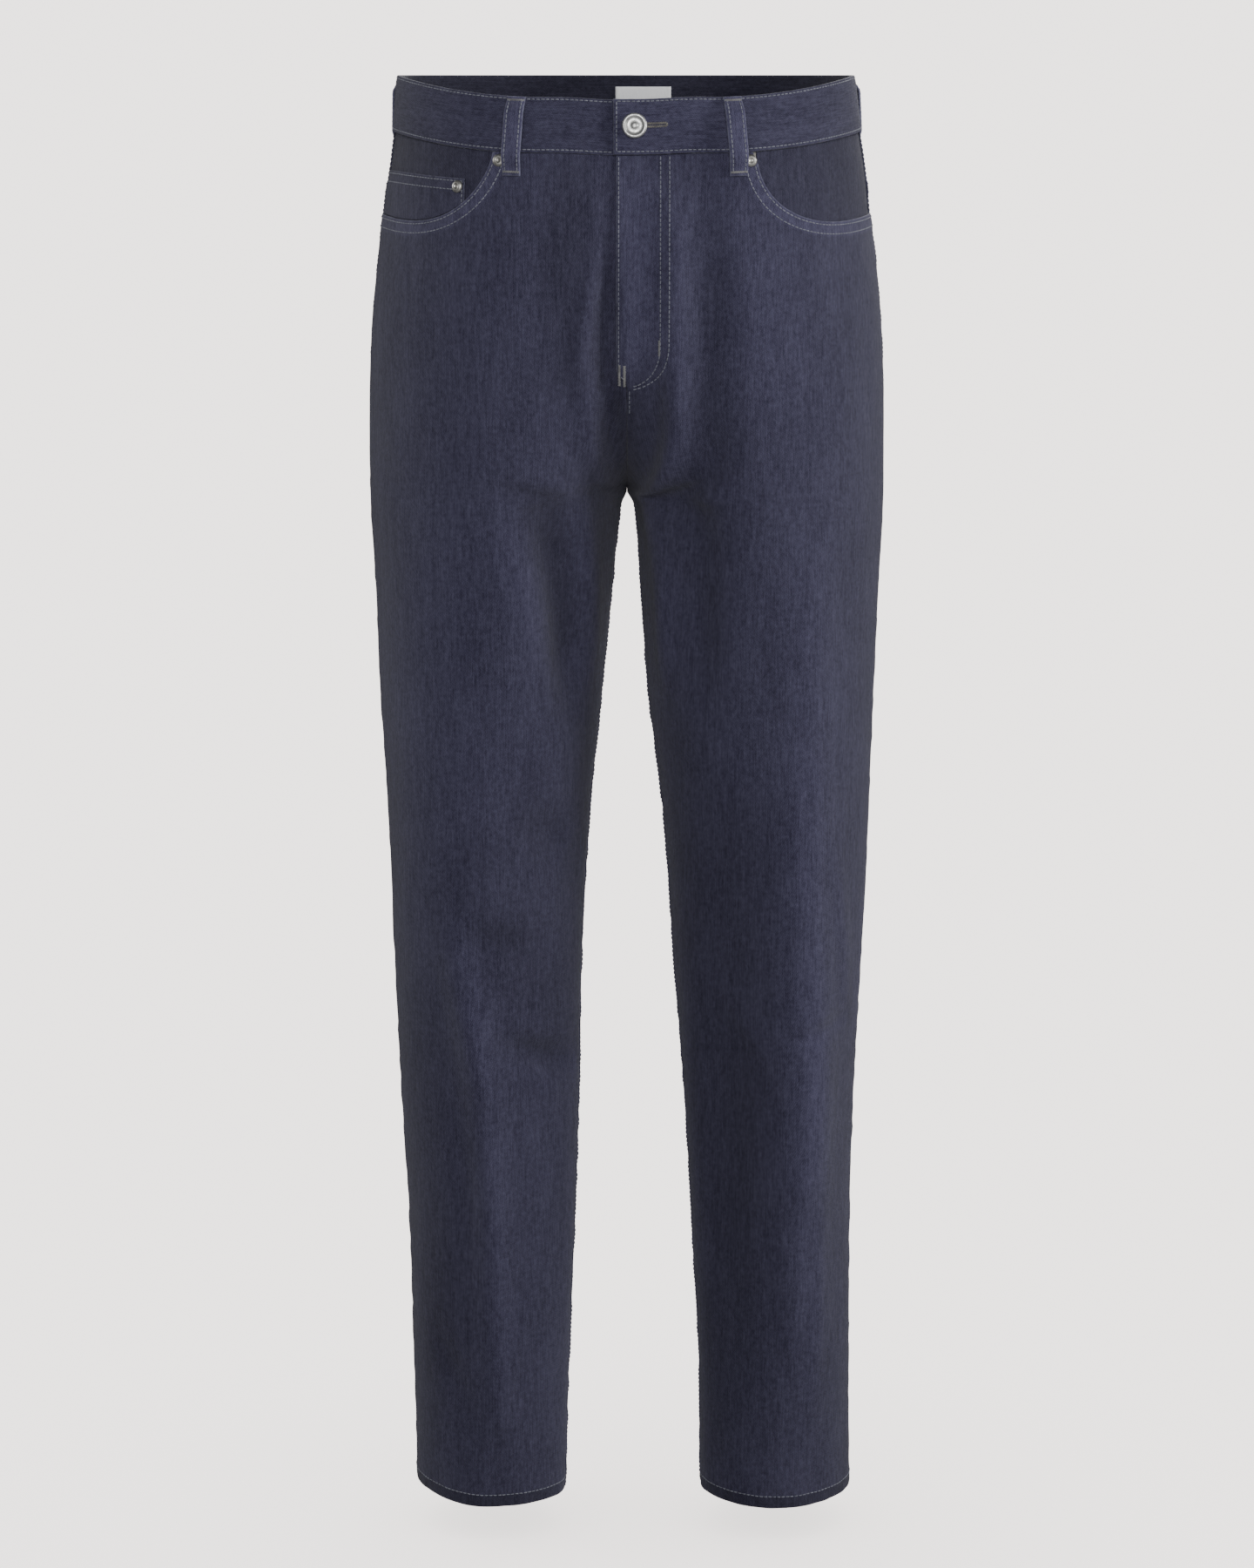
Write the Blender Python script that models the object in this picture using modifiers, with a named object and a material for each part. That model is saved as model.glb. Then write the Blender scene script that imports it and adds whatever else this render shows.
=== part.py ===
"""Tapered five-pocket jeans, filled out as when they are worn, with nobody in them.

Metres, +Z up. The front faces -Y, so +X is the wearer's left. The origin is the middle of the waist,
where a wearer holds the garment up. Every cloth piece is a wall of real thickness that lies on one form,
worked out from the short tables below: a row of OUTLINE, DEPTH and SEAM is one section round the figure.
"""

import functools
import math
from collections import namedtuple

import bpy
import numpy as np
from mathutils import Matrix, Vector

RIGHT, LEFT = -1, 1  # the wearer's right is -X
SIDE_NAMES = {RIGHT: "right", LEFT: "left"}
FRONT, BACK = "front", "back"

# Cloth
WALL = 0.0014  # one ply of denim
GAP = 0.0003  # between two pieces at a seam
PLY = WALL + GAP  # from one ply to the next that lies under or on it
BAND_OUT = 0.0008  # the folded waistband stands this far proud of the panels
BAND_IN = -0.0022

# Heights of the outseam. Every height below is a level: where its section meets the outseam.
WAIST_TOP = 0.020
WAIST_SEAM = -0.020
HEM = -1.0315
HEM_DEPTH = 0.013
HEM_DROP = {RIGHT: 0.0004, LEFT: -0.0023}  # how far the inseam reaches below the hem's level
HEM_RISE = {RIGHT: 0.0055, LEFT: 0.0}  # how far above it the outseam ends
HEM_SAG = 0.0048  # how far the hem hangs down between the two
HEM_DROP_START = -0.80
CROTCH = -0.274
THIGH_TOP, KNEE_TOP = -0.292, -0.486  # a panel's solids are cut here, so that none bends far round a leg

# Front
FLY_LAP = 0.0075  # the left front laps this far over the centre
FLY_LAP_END = -0.178
FLY_SEAM = -0.186  # below this level the two fronts are sewn to each other
FLY_SMOOTH = -0.200
FLY_DIP_START, FLY_DIP_END = 0.010, 0.022
ZIP_START, ZIP_END = 0.003, 0.027
SHIELD_START, SHIELD_END = -0.012, 0.036
SCOOP_START = {RIGHT: 0.0930, LEFT: 0.0900}  # x where the pocket's edge leaves the waistband
SCOOP_DEPTH = 0.058
SCOOP_SIDE = 0.174
SCOOP_ROUND = 2.6
SCOOP_CORNER = {RIGHT: 0.70, LEFT: 0.50}  # the smaller, the squarer the pocket's inner corner
FACING_UNDER = 0.012
UPPER_END, EVEN_START = -0.110, -0.300  # between these levels the front's lengthwise lines even out
COIN_INNER_X = 0.113
COIN_TOP_INNER, COIN_TOP_SIDE = 0.021, 0.028
COIN_CLEAR = 0.0006
BAG_PLY = 0.001

# Back
YOKE_CENTRE, YOKE_SIDE = 0.078, 0.045  # drop of the yoke's seam below the waistband
POCKET_INNER, POCKET_WIDTH, POCKET_TAPER = 0.046, 0.150, 0.008
POCKET_BELOW_YOKE, POCKET_HEIGHT, POCKET_POINT = 0.018, 0.132, 0.022
POCKET_DROP = YOKE_CENTRE + POCKET_BELOW_YOKE

# Waistband and its loops
BAND_END = 0.0095  # the lapping end passes the centre by this much
BAND_UNDER = 0.045  # and this much of the other end lies under it
BAND_LIFT, BAND_SINK = 0.0019, -0.0015
LAP_SPAN = (BAND_UNDER + 0.001, BAND_UNDER + 0.020)  # the lapping end comes down between these distances
SINK_SPAN = (BAND_END + 0.0015, BAND_END + 0.018)
LOOP_WIDTH, LOOP_PLY, LOOP_RISE = 0.0125, 0.0018, 0.0066
LOOP_BELOW_SEAM = 0.016
LOOP_CLEAR = 1.5 * GAP
LOOP_INSET = 0.0005  # the loop's top lies this far below the waistband's
# distance of a loop's top from the centre, and how far its foot splays
FRONT_LOOPS = {RIGHT: (0.0760, 0.004), LEFT: (0.0745, 0.003)}
SIDE_LOOP_BACK = 0.042  # from the outseam to the loop behind it
LABEL_LEFT, LABEL_RIGHT = -0.0085, 0.0325
LABEL_TOP, LABEL_BOTTOM, LABEL_PLY = 0.0115, -0.017, 0.001

# Metal
BUTTON_X, BUTTON_LEVEL = 0.0052, 0.0003
BUTTON_RADIUS = 0.0088
RIVET_RADIUS = 0.0044
RIVET_BELOW = 0.0062  # from the seam or edge above a rivet to its middle
SCOOP_RIVET_IN = 0.0045  # from the pocket's edge towards the centre
COIN_RIVET_OUT = 0.0055  # from the coin pocket's free side towards the outseam

CURVE_STEPS = 40
SPAN = 0.002  # from a place to those around it that give its normal
SEAM_REACH = 0.001
ROUND = 0.56  # handle of a Bezier that stands for a quarter of a round section

Outline = namedtuple("Outline", "level outer inner")
OUTLINE = {
    RIGHT: (
        Outline(0.020, 0.1640, 0.0000),
        Outline(-0.020, 0.1672, 0.0000),
        Outline(-0.050, 0.1715, 0.0000),
        Outline(-0.082, 0.1762, 0.0000),
        Outline(-0.113, 0.1798, 0.0000),
        Outline(-0.163, 0.1845, 0.0000),
        Outline(-0.213, 0.1864, 0.0000),
        Outline(CROTCH, 0.1868, 0.0000),
        Outline(-0.281, 0.1867, 0.0034),
        Outline(-0.292, 0.1864, 0.0052),
        Outline(-0.340, 0.1838, 0.0102),
        Outline(-0.418, 0.1812, 0.0180),
        Outline(-0.521, 0.1757, 0.0280),
        Outline(-0.626, 0.1722, 0.0340),
        Outline(-0.732, 0.1680, 0.0362),
        Outline(-0.839, 0.1630, 0.0400),
        Outline(-0.948, 0.1607, 0.0445),
        Outline(HEM, 0.1588, 0.0468),
    ),
    LEFT: (
        Outline(0.020, 0.1622, 0.0000),
        Outline(-0.020, 0.1672, 0.0000),
        Outline(-0.050, 0.1720, 0.0000),
        Outline(-0.082, 0.1756, 0.0000),
        Outline(-0.113, 0.1798, 0.0000),
        Outline(-0.163, 0.1842, 0.0000),
        Outline(-0.213, 0.1860, 0.0000),
        Outline(CROTCH, 0.1864, 0.0000),
        Outline(-0.281, 0.1863, 0.0040),
        Outline(-0.292, 0.1860, 0.0062),
        Outline(-0.340, 0.1838, 0.0096),
        Outline(-0.418, 0.1810, 0.0152),
        Outline(-0.521, 0.1778, 0.0276),
        Outline(-0.626, 0.1735, 0.0352),
        Outline(-0.732, 0.1690, 0.0434),
        Outline(-0.839, 0.1672, 0.0492),
        Outline(-0.948, 0.1674, 0.0548),
        Outline(HEM, 0.1690, 0.0555),
    ),
}

# front and back: y of the section's foremost and rearmost points. across: how far those points lie from the
# inner edge to the outseam, as a share. lift: the share of the height between those two that they have risen.
Depth = namedtuple("Depth", "level front back outseam across lift")
DEPTH = (
    Depth(0.020, -0.1170, 0.1060, 0.000, 0.36, 0.10),
    Depth(-0.020, -0.1225, 0.1125, 0.000, 0.36, 0.10),
    Depth(-0.060, -0.1275, 0.1265, 0.000, 0.37, 0.12),
    Depth(-0.110, -0.1305, 0.1400, 0.000, 0.39, 0.15),
    Depth(-0.160, -0.1305, 0.1480, 0.000, 0.42, 0.20),
    Depth(-0.210, -0.1285, 0.1470, 0.000, 0.45, 0.30),
    Depth(-0.250, -0.1250, 0.1370, 0.000, 0.48, 0.40),
    Depth(-0.292, -0.1195, 0.1190, 0.000, 0.50, 0.50),
    Depth(-0.340, -0.1120, 0.1010, 0.000, 0.50, 0.50),
    Depth(-0.418, -0.1000, 0.0860, 0.000, 0.50, 0.50),
    Depth(-0.521, -0.0870, 0.0750, 0.000, 0.50, 0.50),
    Depth(-0.626, -0.0750, 0.0705, 0.002, 0.50, 0.50),
    Depth(-0.732, -0.0655, 0.0715, 0.005, 0.50, 0.50),
    Depth(-0.839, -0.0570, 0.0720, 0.008, 0.50, 0.50),
    Depth(-0.948, -0.0510, 0.0715, 0.011, 0.50, 0.50),
    Depth(HEM, -0.0480, 0.0705, 0.012, 0.50, 0.50),
)

# The centre seams down to the crotch at -0.274, and the inseam below it. A turn is the angle at which the cloth
# leaves the seam: 0 where it runs straight across the centre, 90 where it wraps round a leg.
Seam = namedtuple("Seam", "level front_y front_z back_y back_z front_turn back_turn")
SEAM = (
    Seam(0.020, -0.1160, 0.0035, 0.1045, 0.0200, 0, 0),
    Seam(-0.020, -0.1215, -0.0350, 0.1110, -0.0200, 0, 0),
    Seam(-0.060, -0.1265, -0.0740, 0.1240, -0.0620, 0, 0),
    Seam(-0.110, -0.1290, -0.1200, 0.1350, -0.1140, 0, 10),
    Seam(-0.160, -0.1265, -0.1680, 0.1395, -0.1670, 5, 22),
    Seam(-0.200, -0.1150, -0.2080, 0.1310, -0.2100, 25, 38),
    Seam(-0.232, -0.0900, -0.2420, 0.1060, -0.2450, 48, 55),
    Seam(-0.256, -0.0520, -0.2660, 0.0640, -0.2680, 66, 70),
    Seam(CROTCH, -0.0040, -0.2790, -0.0040, -0.2790, 82, 82),
    Seam(-0.292, -0.0040, -0.2930, -0.0040, -0.2930, 90, 90),
    Seam(-0.340, -0.0070, -0.3400, -0.0070, -0.3400, 90, 90),
    Seam(-0.626, -0.0140, -0.6260, -0.0140, -0.6260, 90, 90),
    Seam(-0.839, -0.0100, -0.8390, -0.0100, -0.8390, 90, 90),
    Seam(HEM, -0.0050, HEM, -0.0050, HEM, 90, 90),
)

# Soft folds of the cloth: a ridge, or a trough where depth is below 0, along a line from one place to another.
# Places are the share of the way from the inner seam to the outseam, and the level.
Fold = namedtuple("Fold", "side face across_a level_a across_b level_b width depth")
FOLDS = (
    Fold(RIGHT, FRONT, 0.450, -0.258, 0.400, -0.345, 0.014, -0.0100),
    Fold(RIGHT, FRONT, 0.420, -0.300, 0.320, -0.430, 0.014, -0.0100),
    Fold(RIGHT, FRONT, 0.358, -0.270, 0.229, -0.410, 0.013, 0.0080),
    Fold(RIGHT, FRONT, 0.492, -0.280, 0.410, -0.400, 0.015, 0.0055),
    Fold(RIGHT, FRONT, 0.371, -0.504, 0.200, -0.536, 0.018, -0.0070),
    Fold(RIGHT, FRONT, 0.550, -0.596, 0.333, -0.602, 0.012, -0.0060),
    Fold(RIGHT, FRONT, 0.571, -0.596, 0.480, -0.710, 0.014, 0.0080),
    Fold(RIGHT, FRONT, 0.392, -0.678, 0.117, -0.696, 0.011, -0.0070),
    Fold(RIGHT, FRONT, 0.500, -0.660, 0.421, -0.960, 0.016, 0.0075),
    Fold(LEFT, FRONT, 0.210, -0.040, 0.208, -0.235, 0.012, -0.0055),
    Fold(LEFT, FRONT, 0.188, -0.195, 0.388, -0.385, 0.014, -0.0075),
    Fold(LEFT, FRONT, 0.600, -0.316, 0.575, -0.570, 0.018, 0.0050),
    Fold(LEFT, FRONT, 0.537, -0.500, 0.542, -0.770, 0.028, 0.0090),
    Fold(LEFT, FRONT, 0.542, -0.680, 0.500, -0.940, 0.028, 0.0090),
    Fold(LEFT, FRONT, 0.370, -0.520, 0.271, -0.910, 0.028, -0.0080),
    Fold(RIGHT, BACK, 0.25, -0.290, 0.75, -0.250, 0.014, -0.0040),
    Fold(LEFT, BACK, 0.25, -0.290, 0.75, -0.255, 0.014, -0.0040),
    Fold(RIGHT, BACK, 0.25, -0.330, 0.70, -0.300, 0.013, 0.0030),
    Fold(LEFT, BACK, 0.25, -0.335, 0.70, -0.305, 0.013, 0.0030),
    Fold(RIGHT, BACK, 0.30, -0.600, 0.70, -0.570, 0.013, -0.0040),
    Fold(LEFT, BACK, 0.30, -0.595, 0.70, -0.575, 0.013, -0.0040),
    Fold(RIGHT, BACK, 0.25, -0.650, 0.75, -0.640, 0.014, -0.0035),
    Fold(LEFT, BACK, 0.25, -0.655, 0.75, -0.635, 0.014, -0.0035),
)
FOLD_SEAM_SHARE = 0.12  # folds die away this near a seam
FOLD_SPAN = 0.24  # width of a panel, to turn a share across it into a distance


# ---------- the form that every cloth piece lies on ----------


def smoothstep(low, high, value):
    """0 below low, 1 above high and an even rise between; low may be the greater."""
    share = min(1.0, max(0.0, (value - low) / (high - low)))
    return share * share * (3 - 2 * share)


def monotone_slopes(steps, rises):
    """End slopes for a curve through the rows of a table that never overshoots a row."""
    secants = rises / steps[:, None]
    inner = np.zeros((len(steps) - 1, rises.shape[1]))
    same_way = secants[:-1] * secants[1:] > 0
    before = 2 * steps[1:, None] + steps[:-1, None]
    after = steps[1:, None] + 2 * steps[:-1, None]
    with np.errstate(divide="ignore", invalid="ignore"):
        harmonic = (before + after) / (before / secants[:-1] + after / secants[1:])
    inner[same_way] = harmonic[same_way]
    return np.vstack([secants[:1], inner, secants[-1:]])


@functools.lru_cache(maxsize=None)
def prepared(table):
    """The table's levels, rising, with its other columns and their slopes."""
    rows = np.array(sorted(table), float)
    levels, values = rows[:, 0], rows[:, 1:]
    slopes = monotone_slopes(np.diff(levels), np.diff(values, axis=0))
    return levels, values, slopes


def read(table, level):
    """The table's columns at any level, on a smooth curve through its rows."""
    levels, values, slopes = prepared(table)
    level = min(max(level, levels[0]), levels[-1])
    i = min(int(np.searchsorted(levels, level, side="right")) - 1, len(levels) - 2)
    step = levels[i + 1] - levels[i]
    t = (level - levels[i]) / step
    rise = values[i + 1] - values[i]
    curve = values[i] + rise * t * t * (3 - 2 * t)
    return curve + step * t * (1 - t) * ((1 - t) * slopes[i] - t * slopes[i + 1])


def bezier(start, start_handle, end_handle, end):
    """Points along a cubic Bezier, its end left out."""
    t = np.linspace(0, 1, CURVE_STEPS, endpoint=False)[:, None]
    s = 1 - t
    return s**3 * start + 3 * s * s * t * start_handle + 3 * s * t * t * end_handle + t**3 * end


@functools.lru_cache(maxsize=None)
def section(side, face, level):
    """Half a section: its points from the inner seam to the outseam, and their distances along it."""
    outer_x, inner_x = read(OUTLINE[side], level)
    front_y, back_y, outseam_y, across, lift = read(DEPTH, level)
    front_in_y, front_in_z, back_in_y, back_in_z, front_turn, back_turn = read(SEAM, level)
    if face == FRONT:
        far_y, inner_y, inner_z, turn, way = front_y, front_in_y, front_in_z, front_turn, -1
    else:
        far_y, inner_y, inner_z, turn, way = back_y, back_in_y, back_in_z, back_turn, 1
    at_hem = smoothstep(HEM_DROP_START, HEM, level)
    inner_z -= HEM_DROP[side] * at_hem
    outer_z = level + HEM_RISE[side] * at_hem
    far_x = inner_x + across * (outer_x - inner_x)
    far_z = inner_z + lift * (outer_z - inner_z) - HEM_SAG * at_hem
    turn = math.radians(turn)
    reach_x, reach_y = ROUND * (far_x - inner_x), ROUND * abs(far_y - inner_y)
    inner = np.array([inner_x, inner_y, inner_z])
    leaving = inner + (reach_x * math.cos(turn), way * reach_y * math.sin(turn), 0)
    far = np.array([far_x, far_y, far_z])
    outer = np.array([outer_x, outseam_y, outer_z])
    entering = outer + (0, way * ROUND * abs(far_y - outseam_y), 0)
    points = np.vstack([
        bezier(inner, leaving, far - (reach_x, 0, 0), far),
        bezier(far, far + (ROUND * (outer_x - far_x), 0, 0), entering, outer),
        outer,
    ])
    points[:, 0] = side * np.maximum(points[:, 0], GAP / 2)
    along = np.concatenate([[0], np.cumsum(np.linalg.norm(np.diff(points, axis=0), axis=1))])
    return points, along


def width(side, face, level):
    """Length of half a section, from the inner seam to the outseam."""
    return section(side, face, level)[1][-1]


def bare_point(side, face, distance, level):
    """A point of the form with no folds, at a distance from the inner seam along a section."""
    points, along = section(side, face, level)
    return np.array([np.interp(distance, along, points[:, k]) for k in range(3)])


def fold_height(side, face, share, level):
    """How far the folds move the cloth out at a place."""
    total = 0.0
    for fold in FOLDS:
        if (fold.side, fold.face) != (side, face):
            continue
        start = np.array([fold.across_a * FOLD_SPAN, fold.level_a])
        run = np.array([fold.across_b * FOLD_SPAN, fold.level_b]) - start
        place = np.array([share * FOLD_SPAN, level]) - start
        t = min(1.0, max(0.0, place @ run / (run @ run)))
        away = np.linalg.norm(place - t * run) / fold.width
        fade = math.sin(math.pi * (0.12 + 0.76 * t))
        total += fold.depth * fade * math.exp(-away * away)
    near_seam = smoothstep(0, FOLD_SEAM_SHARE, share) * smoothstep(1, 1 - FOLD_SEAM_SHARE, share)
    return total * near_seam


def slope_normal(side, face, distance, level):
    """The form's unit normal, pointing away from the wearer, from places around one."""
    long = width(side, face, level)
    low, up = max(0.0, distance - SPAN), min(long, distance + SPAN)
    across = bare_point(side, face, up, level) - bare_point(side, face, low, level)
    share = distance / long
    above, below = level + SPAN, level - SPAN
    down = bare_point(side, face, share * width(side, face, below), below)
    down = down - bare_point(side, face, share * width(side, face, above), above)
    normal = np.cross(down, across) * (side if face == FRONT else -side)
    return normal / np.linalg.norm(normal)


@functools.lru_cache(maxsize=None)
def outward(side, face, distance, level):
    """The form's unit normal. Front and back share it where they meet, so their walls don't cross there."""
    normal = slope_normal(side, face, distance, level)
    long = width(side, face, level)
    other = BACK if face == FRONT else FRONT
    if distance > long - SEAM_REACH:
        normal = normal + slope_normal(side, other, width(side, other, level) - GAP / 2, level)
    elif distance < SEAM_REACH and level <= CROTCH:
        normal = normal + slope_normal(side, other, GAP / 2, level)
    return normal / np.linalg.norm(normal)


def lay(side, face, distance, level, out=0.0):
    """A point on the cloth, moved out by a distance. One before the centre seam is on the other half."""
    if distance < 0:
        side, distance = -side, -distance
    level = float(level)
    distance = min(distance, width(side, face, level))
    share = distance / width(side, face, level)
    out += fold_height(side, face, share, level)
    return bare_point(side, face, distance, level) + outward(side, face, distance, level) * out


def distance_at_x(side, face, x, level):
    """Distance along a section at which it reaches a given x, counted away from the centre."""
    points, along = section(side, face, level)
    return float(np.interp(x, np.abs(points[:, 0]), along))


# ---------- solids ----------


def material(name, colour, roughness, metallic=0.0):
    """A plain Principled material."""
    made = bpy.data.materials.new(name)
    made.use_nodes = True
    shader = made.node_tree.nodes["Principled BSDF"]
    shader.inputs["Base Color"].default_value = (*colour, 1)
    shader.inputs["Roughness"].default_value = roughness
    shader.inputs["Metallic"].default_value = metallic
    return made


def add_object(name, mesh, finish):
    """Links a mesh as a named part of the garment."""
    mesh.materials.append(finish)
    made = bpy.data.objects.new(name, mesh)
    garment.objects.link(made)
    return made


def cloth(name, outer, inner, finish, closed=False):
    """A wall between two skins, each a grid of points. A closed one joins its last column to its first."""
    rows, columns = len(outer), len(outer[0])
    points = [tuple(p) for skin in (outer, inner) for row in skin for p in row]
    back = rows * columns
    spans = columns if closed else columns - 1

    def corners(i, j):
        following = (j + 1) % columns
        row, below = i * columns, (i + 1) * columns
        return [row + j, row + following, below + following, below + j]

    faces = []
    for i in range(rows - 1):
        for j in range(spans):
            a, b, c, d = corners(i, j)
            faces += [[a, b, c], [a, c, d]]
            faces += [[back + a, back + c, back + b], [back + a, back + d, back + c]]
    ends = []
    if not closed:
        starts = [i * columns for i in range(rows)]
        ends += [(start, start + columns) for start in starts[:-1]]
        ends += [(start + columns - 1, start - 1) for start in starts[1:]]
    last = (rows - 1) * columns
    ends += [((j + 1) % columns, j) for j in range(spans)]
    ends += [(last + j, last + (j + 1) % columns) for j in range(spans)]
    faces += [[a, back + a, back + b, b][::-1] for a, b in ends]
    mesh = bpy.data.meshes.new(name)
    mesh.from_pydata(points, [], faces)
    corner = [Vector(points[k]) for k in faces[0]]
    facing = (corner[1] - corner[0]).cross(corner[2] - corner[0])
    if facing.dot(corner[0] - Vector(points[back + faces[0][0]])) < 0:
        mesh.flip_normals()
    mesh.shade_smooth()
    mesh.set_sharp_from_angle(angle=math.radians(40))
    return add_object(name, mesh, finish)


def wall(name, places, low, high, finish, ride=None, closed=False):
    """A cloth wall over rows of (side, face, distance, level), between two distances from the form."""
    ride = ride or (lambda *place: 0.0)
    skins = [
        [[lay(*place, out + ride(*place)) for place in row] for row in places]
        for out in (high, low)
    ]
    return cloth(name, *skins, finish, closed)


def turned(name, profile, steps, side, face, distance, level, out, finish):
    """A turned piece whose axis is the cloth's normal at a place. Its profile is (radius, height), top first."""
    mesh = bpy.data.meshes.new(name)
    points = [(radius, 0, height) for radius, height in profile]
    mesh.from_pydata(points, [(i, i + 1) for i in range(len(points) - 1)], [])
    made = add_object(name, mesh, finish)
    screw = made.modifiers.new("turn", "SCREW")
    screw.steps = screw.render_steps = steps
    screw.use_merge_vertices = True
    screw.merge_threshold = 1e-5
    screw.use_smooth_shade = True
    normal = outward(side, face, distance, level)
    turn = Vector(normal).to_track_quat("Z", "Y").to_matrix().to_4x4()
    made.matrix_world = Matrix.Translation(lay(side, face, distance, level, out)) @ turn
    return made


# ---------- pattern pieces ----------
# Each half of the front and of the back has one net of lengthwise and crossing lines. All the pieces there take
# their places from it, so whatever lies on a panel, or under it, runs parallel to it.


def spread(*stops):
    """Values from stop to stop, each stop given with the number of even steps that lead to it."""
    values = [stops[0]]
    for steps, end in stops[1:]:
        values += list(np.linspace(values[-1], end, steps + 1)[1:])
    return values


LEG_LEVELS = spread(
    FLY_LAP_END, (1, FLY_SEAM), (1, FLY_SMOOTH), (4, CROTCH), (1, -0.281), (1, THIGH_TOP), (3, -0.365),
    (2, KNEE_TOP), (9, HEM),
)
SEAT_LEVELS = LEG_LEVELS[LEG_LEVELS.index(CROTCH):]
BAG_LINE, SCOOP_LINE, COIN_LINE = 4, 6, 10  # the front's lengthwise lines where these three begin
BAG_BOTTOM = 12  # and its crossing line at the bottom of the pocket's bag
POCKET_FIRST, POCKET_LAST = 3, 11  # the back's lengthwise lines at the sides of its pocket


@functools.lru_cache(maxsize=None)
def front_lines(side, level):
    """Shares of the front's lengthwise lines: close at the fly and the pocket's corner, even below."""
    long = width(side, FRONT, WAIST_SEAM)
    fly = [distance / long for distance in (FLY_DIP_START, FLY_DIP_END, SHIELD_END)]
    start = distance_at_x(side, FRONT, SCOOP_START[side], WAIST_SEAM) / long
    coin = distance_at_x(side, FRONT, COIN_INNER_X, WAIST_SEAM) / long
    roots = spread(0.0, (4, math.sqrt((coin - start) / (1 - start))), (4, 1.0))
    scoop = [start + (1 - start) * root * root for root in roots]
    upper = np.array([0.0, *fly, *spread(fly[2], (3, start))[1:], *scoop[1:]])
    even = np.linspace(0, 1, len(upper))
    return tuple(upper + smoothstep(UPPER_END, EVEN_START, level) * (even - upper))


@functools.lru_cache(maxsize=None)
def back_lines(side, level):
    """Shares of the back's lengthwise lines. Two of them are the sides of the pocket, which narrows downwards."""
    top = WAIST_SEAM - POCKET_DROP
    narrow = POCKET_TAPER * min(1.0, max(0.0, (top - level) / POCKET_HEIGHT))
    long = width(side, BACK, max(level, top - POCKET_HEIGHT))
    inner = (POCKET_INNER + narrow) / long
    outer = (POCKET_INNER + POCKET_WIDTH - narrow) / long
    return tuple(spread(0.0, (POCKET_FIRST, inner), (POCKET_LAST - POCKET_FIRST, outer), (3, 1.0)))


def seamed(side, face, share, level):
    """A place that keeps half a seam's gap from the seams at both sides of a panel."""
    long = width(side, face, level)
    return (side, face, min(max(share * long, GAP / 2), long - GAP / 2), level)


def net(side, face, columns, first=0):
    """Rows of places from the levels on each lengthwise line, counted from the first line given."""
    lines = front_lines if face == FRONT else back_lines
    return [
        [seamed(side, face, lines(side, level)[first + j], level) for j, level in enumerate(row)]
        for row in zip(*columns)
    ]


@functools.lru_cache(maxsize=None)
def scoop_level(side, line):
    """Level of the front pocket's edge on a lengthwise line."""
    share = front_lines(side, WAIST_SEAM)[line]
    level = WAIST_SEAM
    for _ in range(12):
        x = abs(bare_point(side, FRONT, share * width(side, FRONT, level), level)[0])
        over = min(1.0, max(0.0, (x - SCOOP_START[side]) / (SCOOP_SIDE - SCOOP_START[side])))
        level = WAIST_SEAM - SCOOP_DEPTH * (1 - (1 - over) ** SCOOP_ROUND) ** SCOOP_CORNER[side]
    return level


def front_levels(side, line):
    """Levels where the front's crossing lines meet a lengthwise one, from the pocket's edge to the hem."""
    top = scoop_level(side, line)
    return spread(top, (1, top - FACING_UNDER), (2, UPPER_END), (3, FLY_LAP_END)) + LEG_LEVELS[1:]


def facing_levels(side, line):
    """Levels where the crossing lines of the pocket's facing meet a lengthwise one."""
    edge = scoop_level(side, line)
    if line <= SCOOP_LINE:
        return spread(WAIST_SEAM, (5, WAIST_SEAM - FACING_UNDER))
    if line < COIN_LINE:
        return spread(WAIST_SEAM, (4, edge), (1, edge - FACING_UNDER))
    over = (line - COIN_LINE) / (len(front_lines(side, WAIST_SEAM)) - 1 - COIN_LINE)
    coin_top = WAIST_SEAM - COIN_TOP_INNER - over * (COIN_TOP_SIDE - COIN_TOP_INNER)
    return spread(WAIST_SEAM, (2, coin_top), (2, edge), (1, edge - FACING_UNDER))


def opened(column, amount):
    """A column of levels whose top lies half a seam's gap, or another amount, below the seam above it."""
    return [column[0] - amount, *column[1:]]


def panel(name, rows, ride=None):
    """A front or back as three walls, one below the other, that part by a seam's gap at the thigh and the knee."""
    levels = [row[0][3] for row in rows]
    start = 0
    for stretch, cut in (("hip", THIGH_TOP), ("thigh", KNEE_TOP), ("calf", None)):
        end = levels.index(cut) + 1 if cut else len(rows)
        part = [list(row) for row in rows[start:end]]
        if start:
            part[0] = [(*place[:3], place[3] - GAP / 2) for place in part[0]]
        if cut:
            part[-1] = [(*place[:3], place[3] + GAP / 2) for place in part[-1]]
        wall(f"{name}_{stretch}", part, -WALL, 0, denim, ride)
        start = end - 1


def fly_dip(side, face, distance, level):
    """The right front lies one ply deeper where the left one laps over it."""
    beside = 1 - smoothstep(FLY_DIP_START, FLY_DIP_END, distance)
    return -PLY * beside * smoothstep(FLY_SMOOTH, FLY_SEAM, level)


def front_panel(side):
    """A front, which ends at the pocket's edge. The left one laps over the centre down to the fly's end."""
    lines = range(len(front_lines(side, WAIST_SEAM)))
    rows = net(side, FRONT, [opened(front_levels(side, line), GAP / 2) for line in lines])
    if side == LEFT:
        for row in rows:
            level = row[0][3]
            row[0] = (side, FRONT, GAP / 2 - FLY_LAP * smoothstep(FLY_SEAM, FLY_LAP_END, level), level)
    panel(f"front_{SIDE_NAMES[side]}", rows, fly_dip if side == RIGHT else None)


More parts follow.
